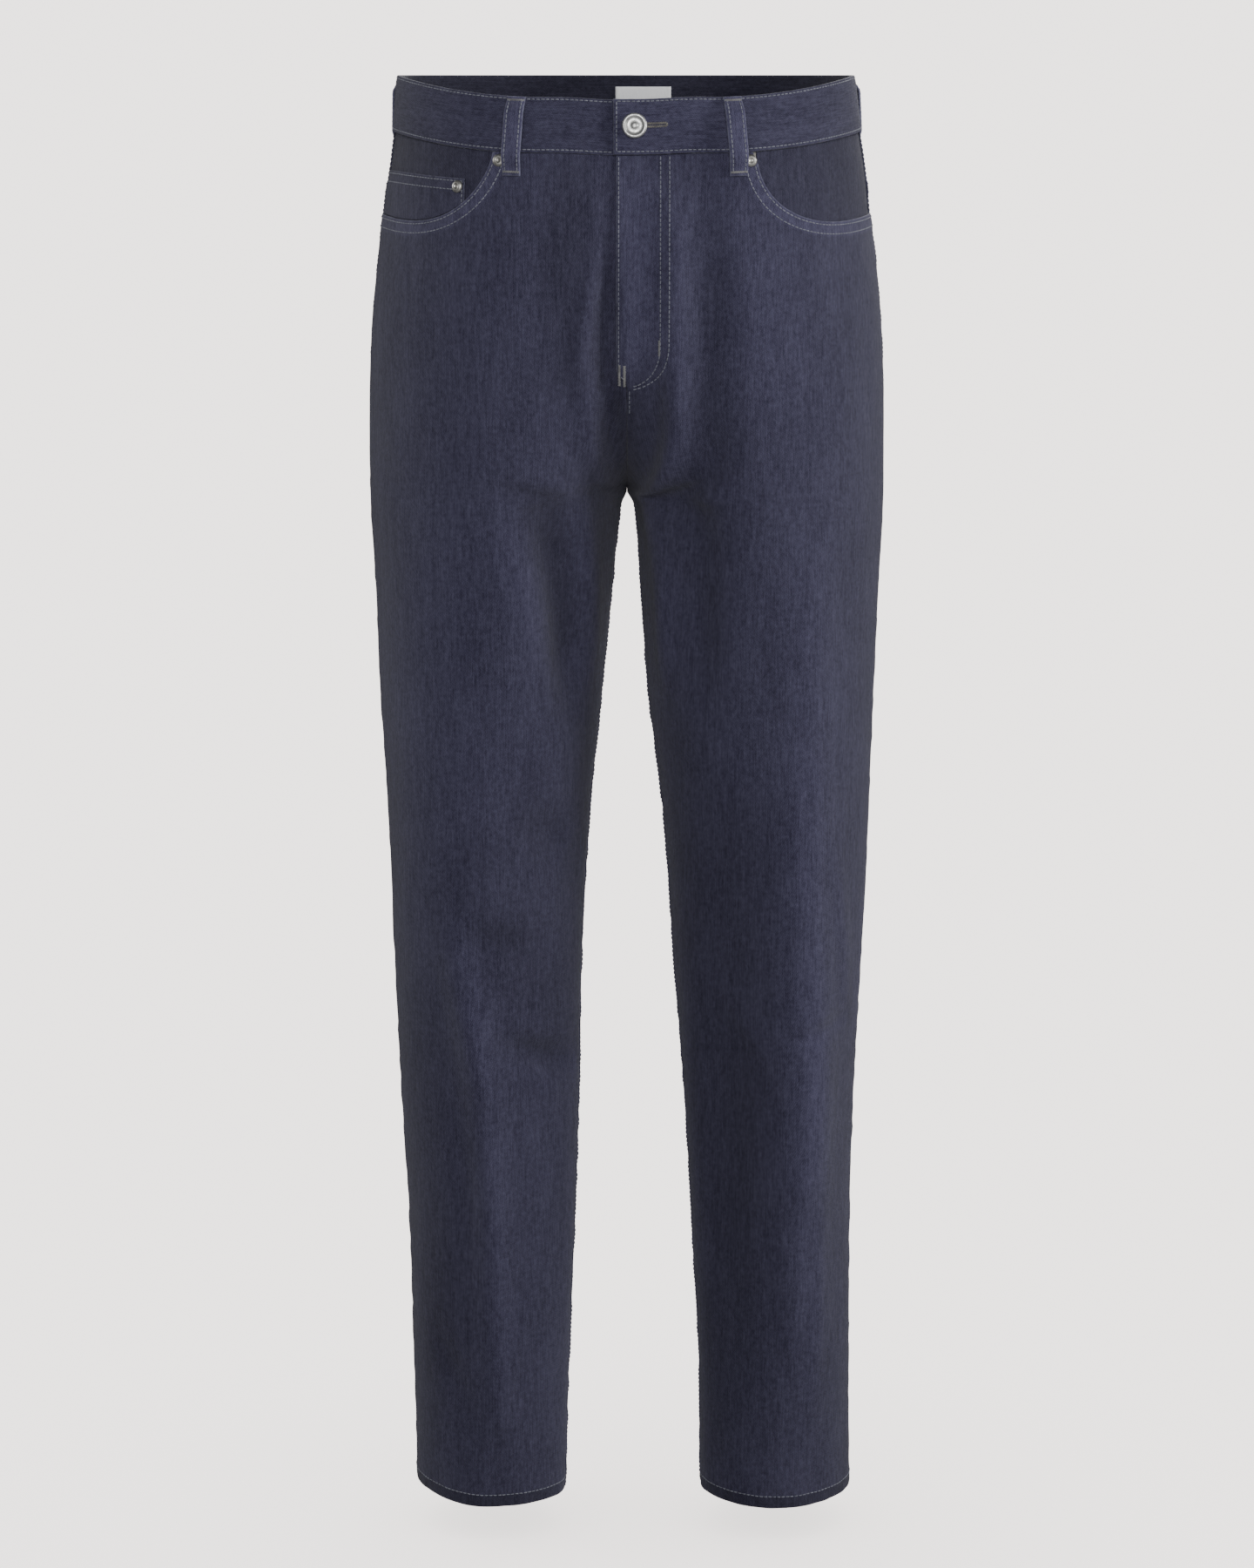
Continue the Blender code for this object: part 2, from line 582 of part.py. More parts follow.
def pocket_facing(side):
    """The hip piece that shows inside the front pocket's scoop, one ply under the front."""
    lines = range(SCOOP_LINE, len(front_lines(side, WAIST_SEAM)))
    rows = net(side, FRONT, [opened(facing_levels(side, line), GAP / 2) for line in lines], SCOOP_LINE)
    return wall(f"pocket_facing_{SIDE_NAMES[side]}", rows, -PLY - WALL, -PLY, denim)


def coin_pocket():
    """The small pocket on the right facing. What the front covers of it is left out."""
    columns = []
    for line in range(COIN_LINE, len(front_lines(RIGHT, WAIST_SEAM))):
        top, middle, bottom = facing_levels(RIGHT, line)[2:5]
        columns.append([top, middle, bottom + COIN_CLEAR])
    return wall("coin_pocket", net(RIGHT, FRONT, columns, COIN_LINE), -WALL, -GAP, denim)


def pocket_bag(side):
    """The wearer's side of the pocket's bag, behind the facing and the front."""
    columns = []
    for line in range(BAG_LINE, len(front_lines(side, WAIST_SEAM))):
        levels = facing_levels(side, line) + front_levels(side, line)[2:BAG_BOTTOM]
        columns.append(opened(levels, GAP / 2))
    rows = net(side, FRONT, columns, BAG_LINE)
    return wall(f"pocket_bag_{SIDE_NAMES[side]}", rows, -2 * PLY - BAG_PLY, -2 * PLY, pocketing)


def yoke_level(side, line):
    """Level of the seam between yoke and back panel on a lengthwise line."""
    share = back_lines(side, WAIST_SEAM - YOKE_CENTRE)[line]
    return WAIST_SEAM - YOKE_CENTRE - share * (YOKE_SIDE - YOKE_CENTRE)


def pocket_levels(side, line):
    """Levels where the back pocket's crossing lines, from its top edge to its point, meet a lengthwise one."""
    over = min(1.0, max(0.0, (line - POCKET_FIRST) / (POCKET_LAST - POCKET_FIRST)))
    top = yoke_level(side, line) - POCKET_BELOW_YOKE
    return spread(top, (5, top - POCKET_HEIGHT - POCKET_POINT * (1 - abs(2 * over - 1))))


def back_panel(side):
    """A back, from the yoke's seam to the hem, whose crossing lines take in the pocket's."""
    columns = []
    for line in range(len(back_lines(side, WAIST_SEAM))):
        pocket = pocket_levels(side, line)
        below = spread(pocket[-1], (2, CROTCH))[1:] + SEAT_LEVELS[1:]
        columns.append([yoke_level(side, line) - GAP / 2, *pocket, *below])
    panel(f"back_{SIDE_NAMES[side]}", net(side, BACK, columns))


def yoke(side):
    """The shaped piece between the waistband and a back."""
    lines = range(len(back_lines(side, WAIST_SEAM)))
    columns = [spread(WAIST_SEAM - GAP / 2, (3, yoke_level(side, line) + GAP / 2)) for line in lines]
    return wall(f"yoke_{SIDE_NAMES[side]}", net(side, BACK, columns), -WALL, 0, denim)


def back_pocket(side):
    """A plain patch pocket with a pointed bottom."""
    columns = [pocket_levels(side, line) for line in range(POCKET_FIRST, POCKET_LAST + 1)]
    return wall(f"back_pocket_{SIDE_NAMES[side]}", net(side, BACK, columns, POCKET_FIRST), GAP, GAP + WALL, denim)


def hem(side):
    """The plies turned in at the bottom of a leg, as a ring inside it."""
    rows = []
    for level in (HEM + HEM_DEPTH, HEM):
        row = [(side, FRONT, share * width(side, FRONT, level), level) for share in front_lines(side, level)]
        back = [(side, BACK, share * width(side, BACK, level), level) for share in back_lines(side, level)]
        rows.append(row + back[-2:0:-1])
    return wall(f"hem_{SIDE_NAMES[side]}", rows, -PLY - WALL, -PLY, denim, closed=True)


def fly_strip(name, start, lines, end, low, finish):
    """A strip behind the fly, from one distance from the centre to another, over some of the front's lines."""
    rows = []
    for level in opened(front_levels(LEFT, 0), GAP / 2)[:7]:
        long = width(LEFT, FRONT, level)
        distances = [start, *[front_lines(LEFT, level)[line] * long for line in lines], end]
        rows.append([(LEFT, FRONT, distance, level) for distance in distances])
    return wall(name, rows, low, low + WALL, finish)


def lap_rise(distance):
    """Rise of the waistband's lapping end."""
    return BAND_LIFT * (1 - smoothstep(*LAP_SPAN, distance))


def lap_fall(distance):
    """Fall of the waistband's other end, which lies under it."""
    return BAND_SINK * (1 - smoothstep(*SINK_SPAN, distance))


def flat(distance):
    """No rise, all round the back."""
    return 0.0


def waistband():
    """One strip all round: the wearer's left end laps over the centre, the other lies under it."""
    stations = [(LEFT, FRONT, share, lap_rise) for share in spread(0.0, (4, 0.2), (2, 0.28), (12, 1.0))]
    stations += [(LEFT, BACK, share, flat) for share in spread(1.0, (16, 0.0))[1:]]
    stations += [(RIGHT, BACK, share, flat) for share in spread(0.0, (16, 1.0))[1:]]
    right = spread(1.0, (14, 0.13), (2, 0.045), (1, 0.0))
    stations += [(RIGHT, FRONT, share, lap_fall) for share in right[1:]]
    rows, rides = [], []
    for level in spread(WAIST_TOP, (3, WAIST_SEAM + GAP / 2)):
        row = [(RIGHT, FRONT, BAND_END, level)]
        lift = [BAND_LIFT]
        for side, face, share, ride in stations:
            distance = share * width(side, face, level)
            row.append((side, face, distance, level))
            lift.append(ride(distance))
        for distance in spread(0.0, (4, BAND_UNDER))[1:]:
            row.append((LEFT, FRONT, distance, level))
            lift.append(BAND_SINK)
        rows.append(row)
        rides.append(lift)
    skins = [
        [[lay(*place, out + lift) for place, lift in zip(row, lifts)] for row, lifts in zip(rows, rides)]
        for out in (BAND_OUT, BAND_IN)
    ]
    return cloth("waistband", *skins, denim)


def belt_loop(name, side, face, distance, splay=0.0):
    """A folded strip that stands off the band to let a belt through, and is sewn down at both ends."""
    outer, inner = [], []
    for t in np.linspace(0, 1, 15):
        level = WAIST_TOP - LOOP_INSET + t * (WAIST_SEAM - LOOP_BELOW_SEAM - WAIST_TOP)
        rise = LOOP_RISE * smoothstep(0.0, 0.24, t) * smoothstep(1.0, 0.72, t)
        base = BAND_OUT + LOOP_CLEAR - BAND_OUT * smoothstep(0.82, 0.94, t)
        middle = distance + splay * t
        for skin, out in ((outer, base + rise + LOOP_PLY), (inner, base + rise)):
            skin.append([lay(side, face, middle + w, level, out) for w in (-LOOP_WIDTH / 2, 0, LOOP_WIDTH / 2)])
    return cloth(name, outer, inner, denim)


def waist_label():
    """A blank woven label on the inside of the back waistband."""
    rows = [
        [(LEFT, BACK, x, level) for x in np.linspace(LABEL_LEFT, LABEL_RIGHT, 6)]
        for level in (LABEL_TOP, LABEL_BOTTOM)
    ]
    return wall("waist_label", rows, BAND_IN - GAP - LABEL_PLY, BAND_IN - GAP, white)


BUTTON_PROFILE = (
    (0.0, 0.0036), (0.22, 0.0036), (0.27, 0.0030), (0.60, 0.0028), (0.68, 0.0034),
    (0.84, 0.0036), (1.0, 0.0026), (1.0, 0.0012), (0.86, 0.0), (0.0, 0.0),
)
RIVET_PROFILE = (
    (0.0, 0.0012), (0.30, 0.0012), (0.42, 0.0017), (0.72, 0.0016), (1.0, 0.0004), (1.0, 0.0), (0.0, 0.0),
)


def scaled(profile, radius):
    """A profile whose radii were given as shares."""
    return [(share * radius, height) for share, height in profile]


def hardware():
    """The tack button on the waistband's lap, and the rivets at the ends of the pockets' edges."""
    turned(
        "waist_button", scaled(BUTTON_PROFILE, BUTTON_RADIUS), 28,
        LEFT, FRONT, BUTTON_X, BUTTON_LEVEL, BAND_OUT + BAND_LIFT + GAP, nickel,
    )
    for side in (RIGHT, LEFT):
        level = WAIST_SEAM - RIVET_BELOW
        distance = distance_at_x(side, FRONT, SCOOP_START[side], level) - SCOOP_RIVET_IN
        turned(
            f"rivet_scoop_{SIDE_NAMES[side]}", scaled(RIVET_PROFILE, RIVET_RADIUS), 18,
            side, FRONT, distance, level, GAP, antique,
        )
    level = WAIST_SEAM - COIN_TOP_INNER - RIVET_BELOW
    distance = distance_at_x(RIGHT, FRONT, COIN_INNER_X, level) + COIN_RIVET_OUT
    turned("rivet_coin", scaled(RIVET_PROFILE, RIVET_RADIUS), 18, RIGHT, FRONT, distance, level, GAP, antique)


for old in list(bpy.data.objects):
    bpy.data.objects.remove(old)
garment = bpy.data.collections.new("tapered_jeans")
bpy.context.scene.collection.children.link(garment)
denim = material("denim", (0.034, 0.036, 0.062), 0.85)
pocketing = material("pocketing", (0.50, 0.48, 0.43), 0.9)
tape = material("zip_tape", (0.018, 0.019, 0.028), 0.85)
white = material("label", (0.62, 0.62, 0.65), 0.8)
nickel = material("nickel", (0.55, 0.55, 0.54), 0.35, 1.0)
antique = material("antique_nickel", (0.42, 0.41, 0.37), 0.4, 1.0)

for body_side in (RIGHT, LEFT):
    front_panel(body_side)
    back_panel(body_side)
    yoke(body_side)
    pocket_facing(body_side)
    pocket_bag(body_side)
    back_pocket(body_side)
    hem(body_side)
coin_pocket()
waistband()
fly_strip("zip", ZIP_START, (1, 2), ZIP_END, -PLY - WALL, tape)
fly_strip("fly_shield", SHIELD_START, (0, 1, 2), SHIELD_END, -2 * PLY - WALL, denim)
for body_side in (RIGHT, LEFT):
    belt_loop(f"belt_loop_front_{SIDE_NAMES[body_side]}", body_side, FRONT, *FRONT_LOOPS[body_side])
    back_width = width(body_side, BACK, WAIST_SEAM)
    belt_loop(f"belt_loop_side_{SIDE_NAMES[body_side]}", body_side, BACK, back_width - SIDE_LOOP_BACK)
belt_loop("belt_loop_back", LEFT, BACK, 0.0)
waist_label()
hardware()
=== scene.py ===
"""Looks of a pair of tapered five-pocket jeans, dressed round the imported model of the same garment.

Metres, +Z up. The front faces -Y, so +X is the wearer's left. Every cloth piece is a thin shell on the
form that its solid lies on, with the finer folds and seams that a solid leaves out, and the sewing lies on
those shells. A place on the form is half of one leg, a distance from its inner seam, which is the centre
seam or the inseam, and a level.
"""

import logging
import math
from dataclasses import dataclass, field
from enum import Enum
from functools import cached_property, reduce
from typing import Iterable, NamedTuple, Sequence

import bpy
import numpy as np
from mathutils import Matrix, Vector


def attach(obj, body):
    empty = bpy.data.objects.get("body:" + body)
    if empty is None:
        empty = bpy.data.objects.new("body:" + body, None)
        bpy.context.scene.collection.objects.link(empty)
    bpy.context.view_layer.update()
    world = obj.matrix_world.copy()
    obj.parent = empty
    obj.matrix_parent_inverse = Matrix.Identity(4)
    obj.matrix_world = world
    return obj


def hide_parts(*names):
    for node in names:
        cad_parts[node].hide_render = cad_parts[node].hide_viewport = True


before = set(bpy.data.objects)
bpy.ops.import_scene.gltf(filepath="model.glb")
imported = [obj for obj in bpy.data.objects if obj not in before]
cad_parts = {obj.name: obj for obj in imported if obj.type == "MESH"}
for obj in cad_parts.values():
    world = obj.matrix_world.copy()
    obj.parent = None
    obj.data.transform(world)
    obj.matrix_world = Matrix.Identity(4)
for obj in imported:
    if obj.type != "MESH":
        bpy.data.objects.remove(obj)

log = logging.getLogger("jeans")
Array = np.ndarray
Values = Array | float
Pair, Span = tuple[Array, Array], tuple[float, float]
Socket, Node, Tree = bpy.types.NodeSocket, bpy.types.Node, bpy.types.NodeTree
Material, Object = bpy.types.Material, bpy.types.Object
BODY = "root"
PATTERN = "pattern"  # the UV map that holds each point's place on its cut piece, in metres
EDGE = "edge"  # how near a point is to a worn edge, from 0 to 1
PAINTED_LIGHT_AND_WEAR = "fade"  # how much paler than the rest the cloth is, as a share; below 0 where it is darker: wear, painted light and painted shade

# Cloth
WALL = 0.0014
GAP = 0.0003
PLY = WALL + GAP
BAND_OUT = 0.0008
BAND_IN = -0.0022
BAG_PLY = 0.001

# Heights of the outseam. A level is the height at which a section of the form meets the outseam.
WAIST_TOP = 0.020
WAIST_SEAM = -0.020
CROTCH = -0.274
HEM = -1.0315
HEM_DEPTH = 0.013
HEM_DROP_START = -0.80
HEM_SAG = 0.0048  # how far the middles of front and back hang below their seams

# Fly and front pockets
FLY_LAP = 0.0075
FLY_LAP_END = -0.178
FLY_SEAM = -0.186
FLY_SMOOTH = -0.200
FLY_DIP_START, FLY_DIP_END = 0.010, 0.022
SCOOP_DEPTH = 0.058
SCOOP_SIDE = 0.174
SCOOP_ROUND = 2.6
FACING_UNDER = 0.012
BAG_BOTTOM = -0.292
UPPER_END, EVEN_START = -0.110, -0.300  # the front's columns follow its pocket above, and spread evenly below
COIN_INNER_X = 0.113
COIN_TOP_INNER, COIN_TOP_SIDE = 0.021, 0.028
COIN_CLEAR = 0.0006

# Back
YOKE_CENTRE, YOKE_SIDE = 0.078, 0.045
POCKET_INNER, POCKET_WIDTH, POCKET_TAPER = 0.046, 0.150, 0.008
POCKET_BELOW_YOKE, POCKET_HEIGHT, POCKET_POINT = 0.018, 0.132, 0.022

# Waistband and what is on it
BAND_END = 0.0095
BAND_UNDER = 0.045
BAND_LIFT, BAND_SINK = 0.0019, -0.0015
LOOP_WIDTH, LOOP_PLY, LOOP_RISE = 0.0125, 0.0018, 0.0066
LOOP_BELOW_SEAM = 0.016
SIDE_LOOP_BACK = 0.042
BUTTON_X, BUTTON_LEVEL = 0.0052, 0.0003
BUTTON_RADIUS = 0.0088
RIVET_RADIUS = 0.0044


class Side(Enum):
    """A leg's side, as the way its x goes."""

    RIGHT = -1
    LEFT = 1

    @property
    def other(self) -> "Side":
        """The opposite side."""
        return Side(-self.value)

    @property
    def word(self) -> str:
        """The side's name, as the model's nodes have it."""
        return self.name.lower()


class Face(Enum):
    """The front or the back of the garment, as the way its y goes."""

    FRONT = -1
    BACK = 1

    @property
    def other(self) -> "Face":
        """The opposite face."""
        return Face(-self.value)


R, L, F, B = Side.RIGHT, Side.LEFT, Face.FRONT, Face.BACK
Half = tuple[Side, Face]  # half of one leg
Colour = tuple[float, float, float, float]
SCOOP_START = {R: 0.0930, L: 0.0900}
SCOOP_CORNER = {R: 0.70, L: 0.50}
HEM_DROP = {R: 0.0004, L: -0.0023}  # at the inseam
HEM_RISE = {R: 0.0055, L: 0.0}  # at the outseam


# ---------- the form that every cloth piece lies on ----------


class Fold(NamedTuple):
    """A soft ridge, or a trough where depth is below 0, from one place to another on a panel."""

    across_a: float
    level_a: float
    across_b: float
    level_b: float
    width: float
    depth: float


# For each leg: level, furthest and nearest x of its section, away from the middle.
OUTLINE = {
    R: (
        (0.02, 0.164, 0.0), (-0.02, 0.1672, 0.0), (-0.05, 0.1715, 0.0), (-0.082, 0.1762, 0.0),
        (-0.113, 0.1798, 0.0), (-0.163, 0.1845, 0.0), (-0.213, 0.1864, 0.0), (CROTCH, 0.1868, 0.0),
        (-0.281, 0.1867, 0.0034), (-0.292, 0.1864, 0.0052), (-0.34, 0.1838, 0.0102), (-0.418, 0.1812, 0.018),
        (-0.521, 0.1757, 0.028), (-0.626, 0.1722, 0.034), (-0.732, 0.168, 0.0362), (-0.839, 0.163, 0.04),
        (-0.948, 0.1607, 0.0445), (HEM, 0.1588, 0.0468),
    ),
    L: (
        (0.02, 0.1622, 0.0), (-0.02, 0.1672, 0.0), (-0.05, 0.172, 0.0), (-0.082, 0.1756, 0.0),
        (-0.113, 0.1798, 0.0), (-0.163, 0.1842, 0.0), (-0.213, 0.186, 0.0), (CROTCH, 0.1864, 0.0),
        (-0.281, 0.1863, 0.004), (-0.292, 0.186, 0.0062), (-0.34, 0.1838, 0.0096), (-0.418, 0.181, 0.0152),
        (-0.521, 0.1778, 0.0276), (-0.626, 0.1735, 0.0352), (-0.732, 0.169, 0.0434),
        (-0.839, 0.1672, 0.0492), (-0.948, 0.1674, 0.0548), (HEM, 0.169, 0.0555),
    ),
}
# Level, foremost y, rearmost y, the outseam's y, and where the far point lies: share across and share up.
DEPTH = (
    (0.02, -0.117, 0.106, 0.0, 0.36, 0.1), (-0.02, -0.1225, 0.1125, 0.0, 0.36, 0.1),
    (-0.06, -0.1275, 0.1265, 0.0, 0.37, 0.12), (-0.11, -0.1305, 0.14, 0.0, 0.39, 0.15),
    (-0.16, -0.1305, 0.148, 0.0, 0.42, 0.2), (-0.21, -0.1285, 0.147, 0.0, 0.45, 0.3),
    (-0.25, -0.125, 0.137, 0.0, 0.48, 0.4), (-0.292, -0.1195, 0.119, 0.0, 0.5, 0.5),
    (-0.34, -0.112, 0.101, 0.0, 0.5, 0.5), (-0.418, -0.1, 0.086, 0.0, 0.5, 0.5),
    (-0.521, -0.087, 0.075, 0.0, 0.5, 0.5), (-0.626, -0.075, 0.0705, 0.002, 0.5, 0.5),
    (-0.732, -0.0655, 0.0715, 0.005, 0.5, 0.5), (-0.839, -0.057, 0.072, 0.008, 0.5, 0.5),
    (-0.948, -0.051, 0.0715, 0.011, 0.5, 0.5), (HEM, -0.048, 0.0705, 0.012, 0.5, 0.5),
)
# Level, then y, z and the angle at which the cloth leaves the inner seam, for the front and for the back.
SEAM = (
    (0.02, -0.116, 0.0035, 0, 0.1045, 0.02, 0), (-0.02, -0.1215, -0.035, 0, 0.111, -0.02, 0),
    (-0.06, -0.1265, -0.074, 0, 0.124, -0.062, 0), (-0.11, -0.129, -0.12, 0, 0.135, -0.114, 10),
    (-0.16, -0.1265, -0.168, 5, 0.1395, -0.167, 22), (-0.2, -0.115, -0.208, 25, 0.131, -0.21, 38),
    (-0.232, -0.09, -0.242, 48, 0.106, -0.245, 55), (-0.256, -0.052, -0.266, 66, 0.064, -0.268, 70),
    (CROTCH, -0.004, -0.279, 82, -0.004, -0.279, 82), (-0.292, -0.004, -0.293, 90, -0.004, -0.293, 90),
    (-0.34, -0.007, -0.34, 90, -0.007, -0.34, 90), (-0.626, -0.014, -0.626, 90, -0.014, -0.626, 90),
    (-0.839, -0.01, -0.839, 90, -0.01, -0.839, 90), (HEM, -0.005, HEM, 90, -0.005, HEM, 90),
)
# The folds that the solids have too, the smaller creases that they leave out, and patches of painted light that
# turn to painted shade below 0, with that share in place of a depth. Each row is a Fold.
MAIN_FOLDS = {
    (R, F): (
        (0.39, -0.272, 0.325, -0.335, 0.014, -0.008), (0.34, -0.315, 0.235, -0.425, 0.014, -0.0095),
        (0.28, -0.275, 0.165, -0.4, 0.014, 0.0055), (0.47, -0.288, 0.36, -0.4, 0.018, 0.005),
        (0.371, -0.504, 0.2, -0.536, 0.018, -0.005), (0.55, -0.596, 0.333, -0.602, 0.013, -0.004),
        (0.571, -0.596, 0.48, -0.71, 0.014, 0.008), (0.392, -0.678, 0.117, -0.696, 0.011, -0.007),
        (0.5, -0.66, 0.421, -0.96, 0.016, 0.0075),
    ),
    (L, F): (
        (0.218, -0.05, 0.21, -0.225, 0.013, -0.0065), (0.21, -0.2, 0.35, -0.304, 0.013, -0.007),
        (0.35, -0.29, 0.32, -0.42, 0.013, -0.005), (0.6, -0.316, 0.575, -0.57, 0.018, 0.005),
        (0.585, -0.5, 0.605, -0.77, 0.025, 0.009), (0.605, -0.68, 0.59, -0.94, 0.025, 0.009),
        (0.37, -0.52, 0.271, -0.91, 0.028, -0.008),
    ),
    (R, B): (
        (0.25, -0.29, 0.75, -0.25, 0.014, -0.004), (0.25, -0.33, 0.7, -0.3, 0.013, 0.003),
        (0.3, -0.6, 0.7, -0.57, 0.013, -0.004), (0.25, -0.65, 0.75, -0.64, 0.014, -0.0035),
    ),
    (L, B): (
        (0.25, -0.29, 0.75, -0.255, 0.014, -0.004), (0.25, -0.335, 0.7, -0.305, 0.013, 0.003),
        (0.3, -0.595, 0.7, -0.575, 0.013, -0.004), (0.25, -0.655, 0.75, -0.635, 0.014, -0.0035),
    ),
}
FINE_FOLDS = {
    (R, F): (
        (0.06, -0.085, 0.054, -0.18, 0.008, -0.008), (0.052, -0.164, 0.03, -0.235, 0.006, -0.006),
        (0.075, -0.088, 0.115, -0.162, 0.007, 0.005), (0.117, -0.15, 0.108, -0.255, 0.008, 0.005),
        (0.225, -0.07, 0.231, -0.13, 0.01, -0.002), (0.558, -0.716, 0.521, -0.844, 0.013, -0.003),
        (0.692, -0.9, 0.537, -0.958, 0.012, -0.0024), (0.3, -0.87, 0.42, -0.96, 0.01, 0.0018),
    ),
    (L, F): (
        (0.132, -0.055, 0.13, -0.195, 0.009, 0.0055), (0.13, -0.17, 0.15, -0.262, 0.01, 0.0065),
        (0.15, -0.235, 0.215, -0.348, 0.012, 0.005), (0.215, -0.33, 0.18, -0.41, 0.01, 0.0045),
        (0.06, -0.17, 0.07, -0.25, 0.009, -0.0045), (0.692, -0.534, 0.796, -0.656, 0.01, 0.003),
        (0.78, -0.66, 0.525, -0.67, 0.006, -0.003), (0.3, -0.64, 0.46, -0.69, 0.009, 0.002),
        (0.62, -0.78, 0.56, -0.96, 0.009, -0.002),
    ),
    (R, B): (
        (0.1, -0.24, 0.4, -0.225, 0.007, -0.0014), (0.3, -0.365, 0.62, -0.35, 0.009, -0.0014),
        (0.2, -0.56, 0.56, -0.535, 0.008, 0.0013), (0.3, -0.695, 0.66, -0.68, 0.009, 0.0014),
        (0.4, -0.82, 0.62, -0.93, 0.011, -0.001),
    ),
    (L, B): (
        (0.1, -0.236, 0.42, -0.222, 0.007, -0.0014), (0.28, -0.372, 0.58, -0.352, 0.009, -0.0014),
        (0.24, -0.552, 0.6, -0.54, 0.008, 0.0013), (0.28, -0.7, 0.62, -0.678, 0.009, 0.0014),
        (0.36, -0.8, 0.56, -0.94, 0.011, -0.001),
    ),
}
# Patches of painted light, and of painted shade where the share is below 0.
PAINTED_LIGHT_AND_SHADE_PATCHES = {
    (L, F): (
        (0.02, -0.045, 0.03, -0.165, 0.022, 0.22), (0.26, -0.066, 0.37, -0.18, 0.03, 0.12),
        (0.0, -0.195, 0.01, -0.258, 0.009, -0.35), (0.1, -0.285, 0.12, -0.42, 0.03, 0.2),
        (0.22, -0.548, 0.15, -0.96, 0.05, -0.15), (0.92, -0.585, 0.92, -0.665, 0.014, 0.25),
    ),
    (R, F): (
        (0.16, -0.035, 0.14, -0.18, 0.018, -0.15), (0.0, -0.195, 0.01, -0.258, 0.009, -0.35),
        (0.06, -0.285, 0.1, -0.4, 0.022, 0.25), (0.38, -0.268, 0.27, -0.375, 0.016, -0.17),
        (0.62, -0.32, 0.62, -0.5, 0.045, 0.12), (0.39, -0.532, 0.2, -0.55, 0.03, -0.1),
        (0.35, -0.598, 0.15, -0.67, 0.03, -0.15), (0.72, -0.646, 0.7, -0.922, 0.03, -0.12),
    ),
}
INSEAM_PAINTED_HIGHLIGHT, INSEAM_HIGHLIGHT_REACH = 0.8, 0.026  # painted highlight: how much paler the inseam's edge is, and how far it reaches
HEM_DARKENING, CALF_PAINTED_SHADE = -0.28, -0.10  # the turned hem is darker, and the lower legs get painted shade
RIDGE_WEAR_AND_SHADE = 22.0  # how much paler each metre of a fold's height makes it: wear on the ridges, painted shade in the troughs
FINE_SEAM_SHARE, FOLD_SEAM_SHARE = 0.03, 0.12  # folds die out over this share of a panel's width at its seams
FOLD_SPAN = 0.24  # a panel's usual width
FOLD_TAPER = 0.12


def smoothstep(low: float, high: float, value: Values) -> Array:
    """An even rise from 0 to 1."""
    share = np.clip((np.asarray(value, float) - low) / (high - low), 0.0, 1.0)
    return share * share * (3 - 2 * share)


def rounding(away: Array, radius: float, depth: float) -> Array:
    """Fall of a surface towards an edge that is turned over."""
    share = np.clip(1 - np.maximum(away, 0.0) / radius, 0.0, 1.0)
    return depth * (1 - np.sqrt(1 - share * share))


def nearest(*away: Array) -> Array:
    """The least of several distances at each place."""
    return reduce(np.minimum, away)


def together(*values: Values) -> list[Array]:
    """The values as arrays of one shape."""
    return np.broadcast_arrays(*(np.asarray(value, float) for value in values))


def unit(vectors: Array) -> Array:
    """The same vectors with a length of 1."""
    return vectors / np.linalg.norm(vectors, axis=-1, keepdims=True)


class Table:
    """A short table of rows, read on curves that never overshoot a row."""

    def __init__(self, rows: Iterable[Sequence[float]]) -> None:
        """Sorts the rows and finds the slope at each.

        Args:
            rows: Rows that start with a level.
        """
        data = np.array(sorted(tuple(row) for row in rows), float)
        self.levels, self.values = data[:, 0], data[:, 1:]
        steps = np.diff(self.levels)[:, None]
        secants = np.diff(self.values, axis=0) / steps
        slopes = np.zeros_like(self.values)
        slopes[0], slopes[-1] = secants[0], secants[-1]
        same_way = secants[:-1] * secants[1:] > 0
        before, after = 2 * steps[1:] + steps[:-1], steps[1:] + 2 * steps[:-1]
        with np.errstate(divide="ignore", invalid="ignore"):
            harmonic = (before + after) / (before / secants[:-1] + after / secants[1:])
        slopes[1:-1] = np.where(same_way, harmonic, 0.0)
        self.slopes = slopes

    def read(self, level: Array) -> Array:
        """Reads the table's columns.

        Args:
            level: Where to read them.

        Returns:
            One row for each level.
        """
        level = np.clip(level, self.levels[0], self.levels[-1])
        i = np.clip(np.searchsorted(self.levels, level, side="right") - 1, 0, len(self.levels) - 2)
        step = (self.levels[i + 1] - self.levels[i])[:, None]
        t = (level[:, None] - self.levels[i][:, None]) / step
        rise = self.values[i + 1] - self.values[i]
        curve = self.values[i] + rise * t * t * (3 - 2 * t)
        return curve + step * t * (1 - t) * ((1 - t) * self.slopes[i] - t * self.slopes[i + 1])


class Unevenness:
    """Smooth noise that is the same on every run."""

    SIZE = 256

    def __init__(self, seed: int) -> None:
        """Draws the heights of its lattice."""
        self.heights = np.random.default_rng(seed).uniform(-1, 1, (self.SIZE, self.SIZE))

    def read(self, u: Array, v: Values = 0.0) -> Array:
        """Height of the noise, from -1 to 1.

        Args:
            u: Place across, in cells of the lattice.
            v: Place along.

        Returns:
            Heights.
        """
        u, v = together(u, v)
        i, j = np.floor(u).astype(int), np.floor(v).astype(int)
        s, t = u - i, v - j
        s, t = s * s * (3 - 2 * s), t * t * (3 - 2 * t)
        i0, i1, j0, j1 = i % self.SIZE, (i + 1) % self.SIZE, j % self.SIZE, (j + 1) % self.SIZE
        low = self.heights[i0, j0] * (1 - s) + self.heights[i1, j0] * s
        high = self.heights[i0, j1] * (1 - s) + self.heights[i1, j1] * s
        return low * (1 - t) + high * t


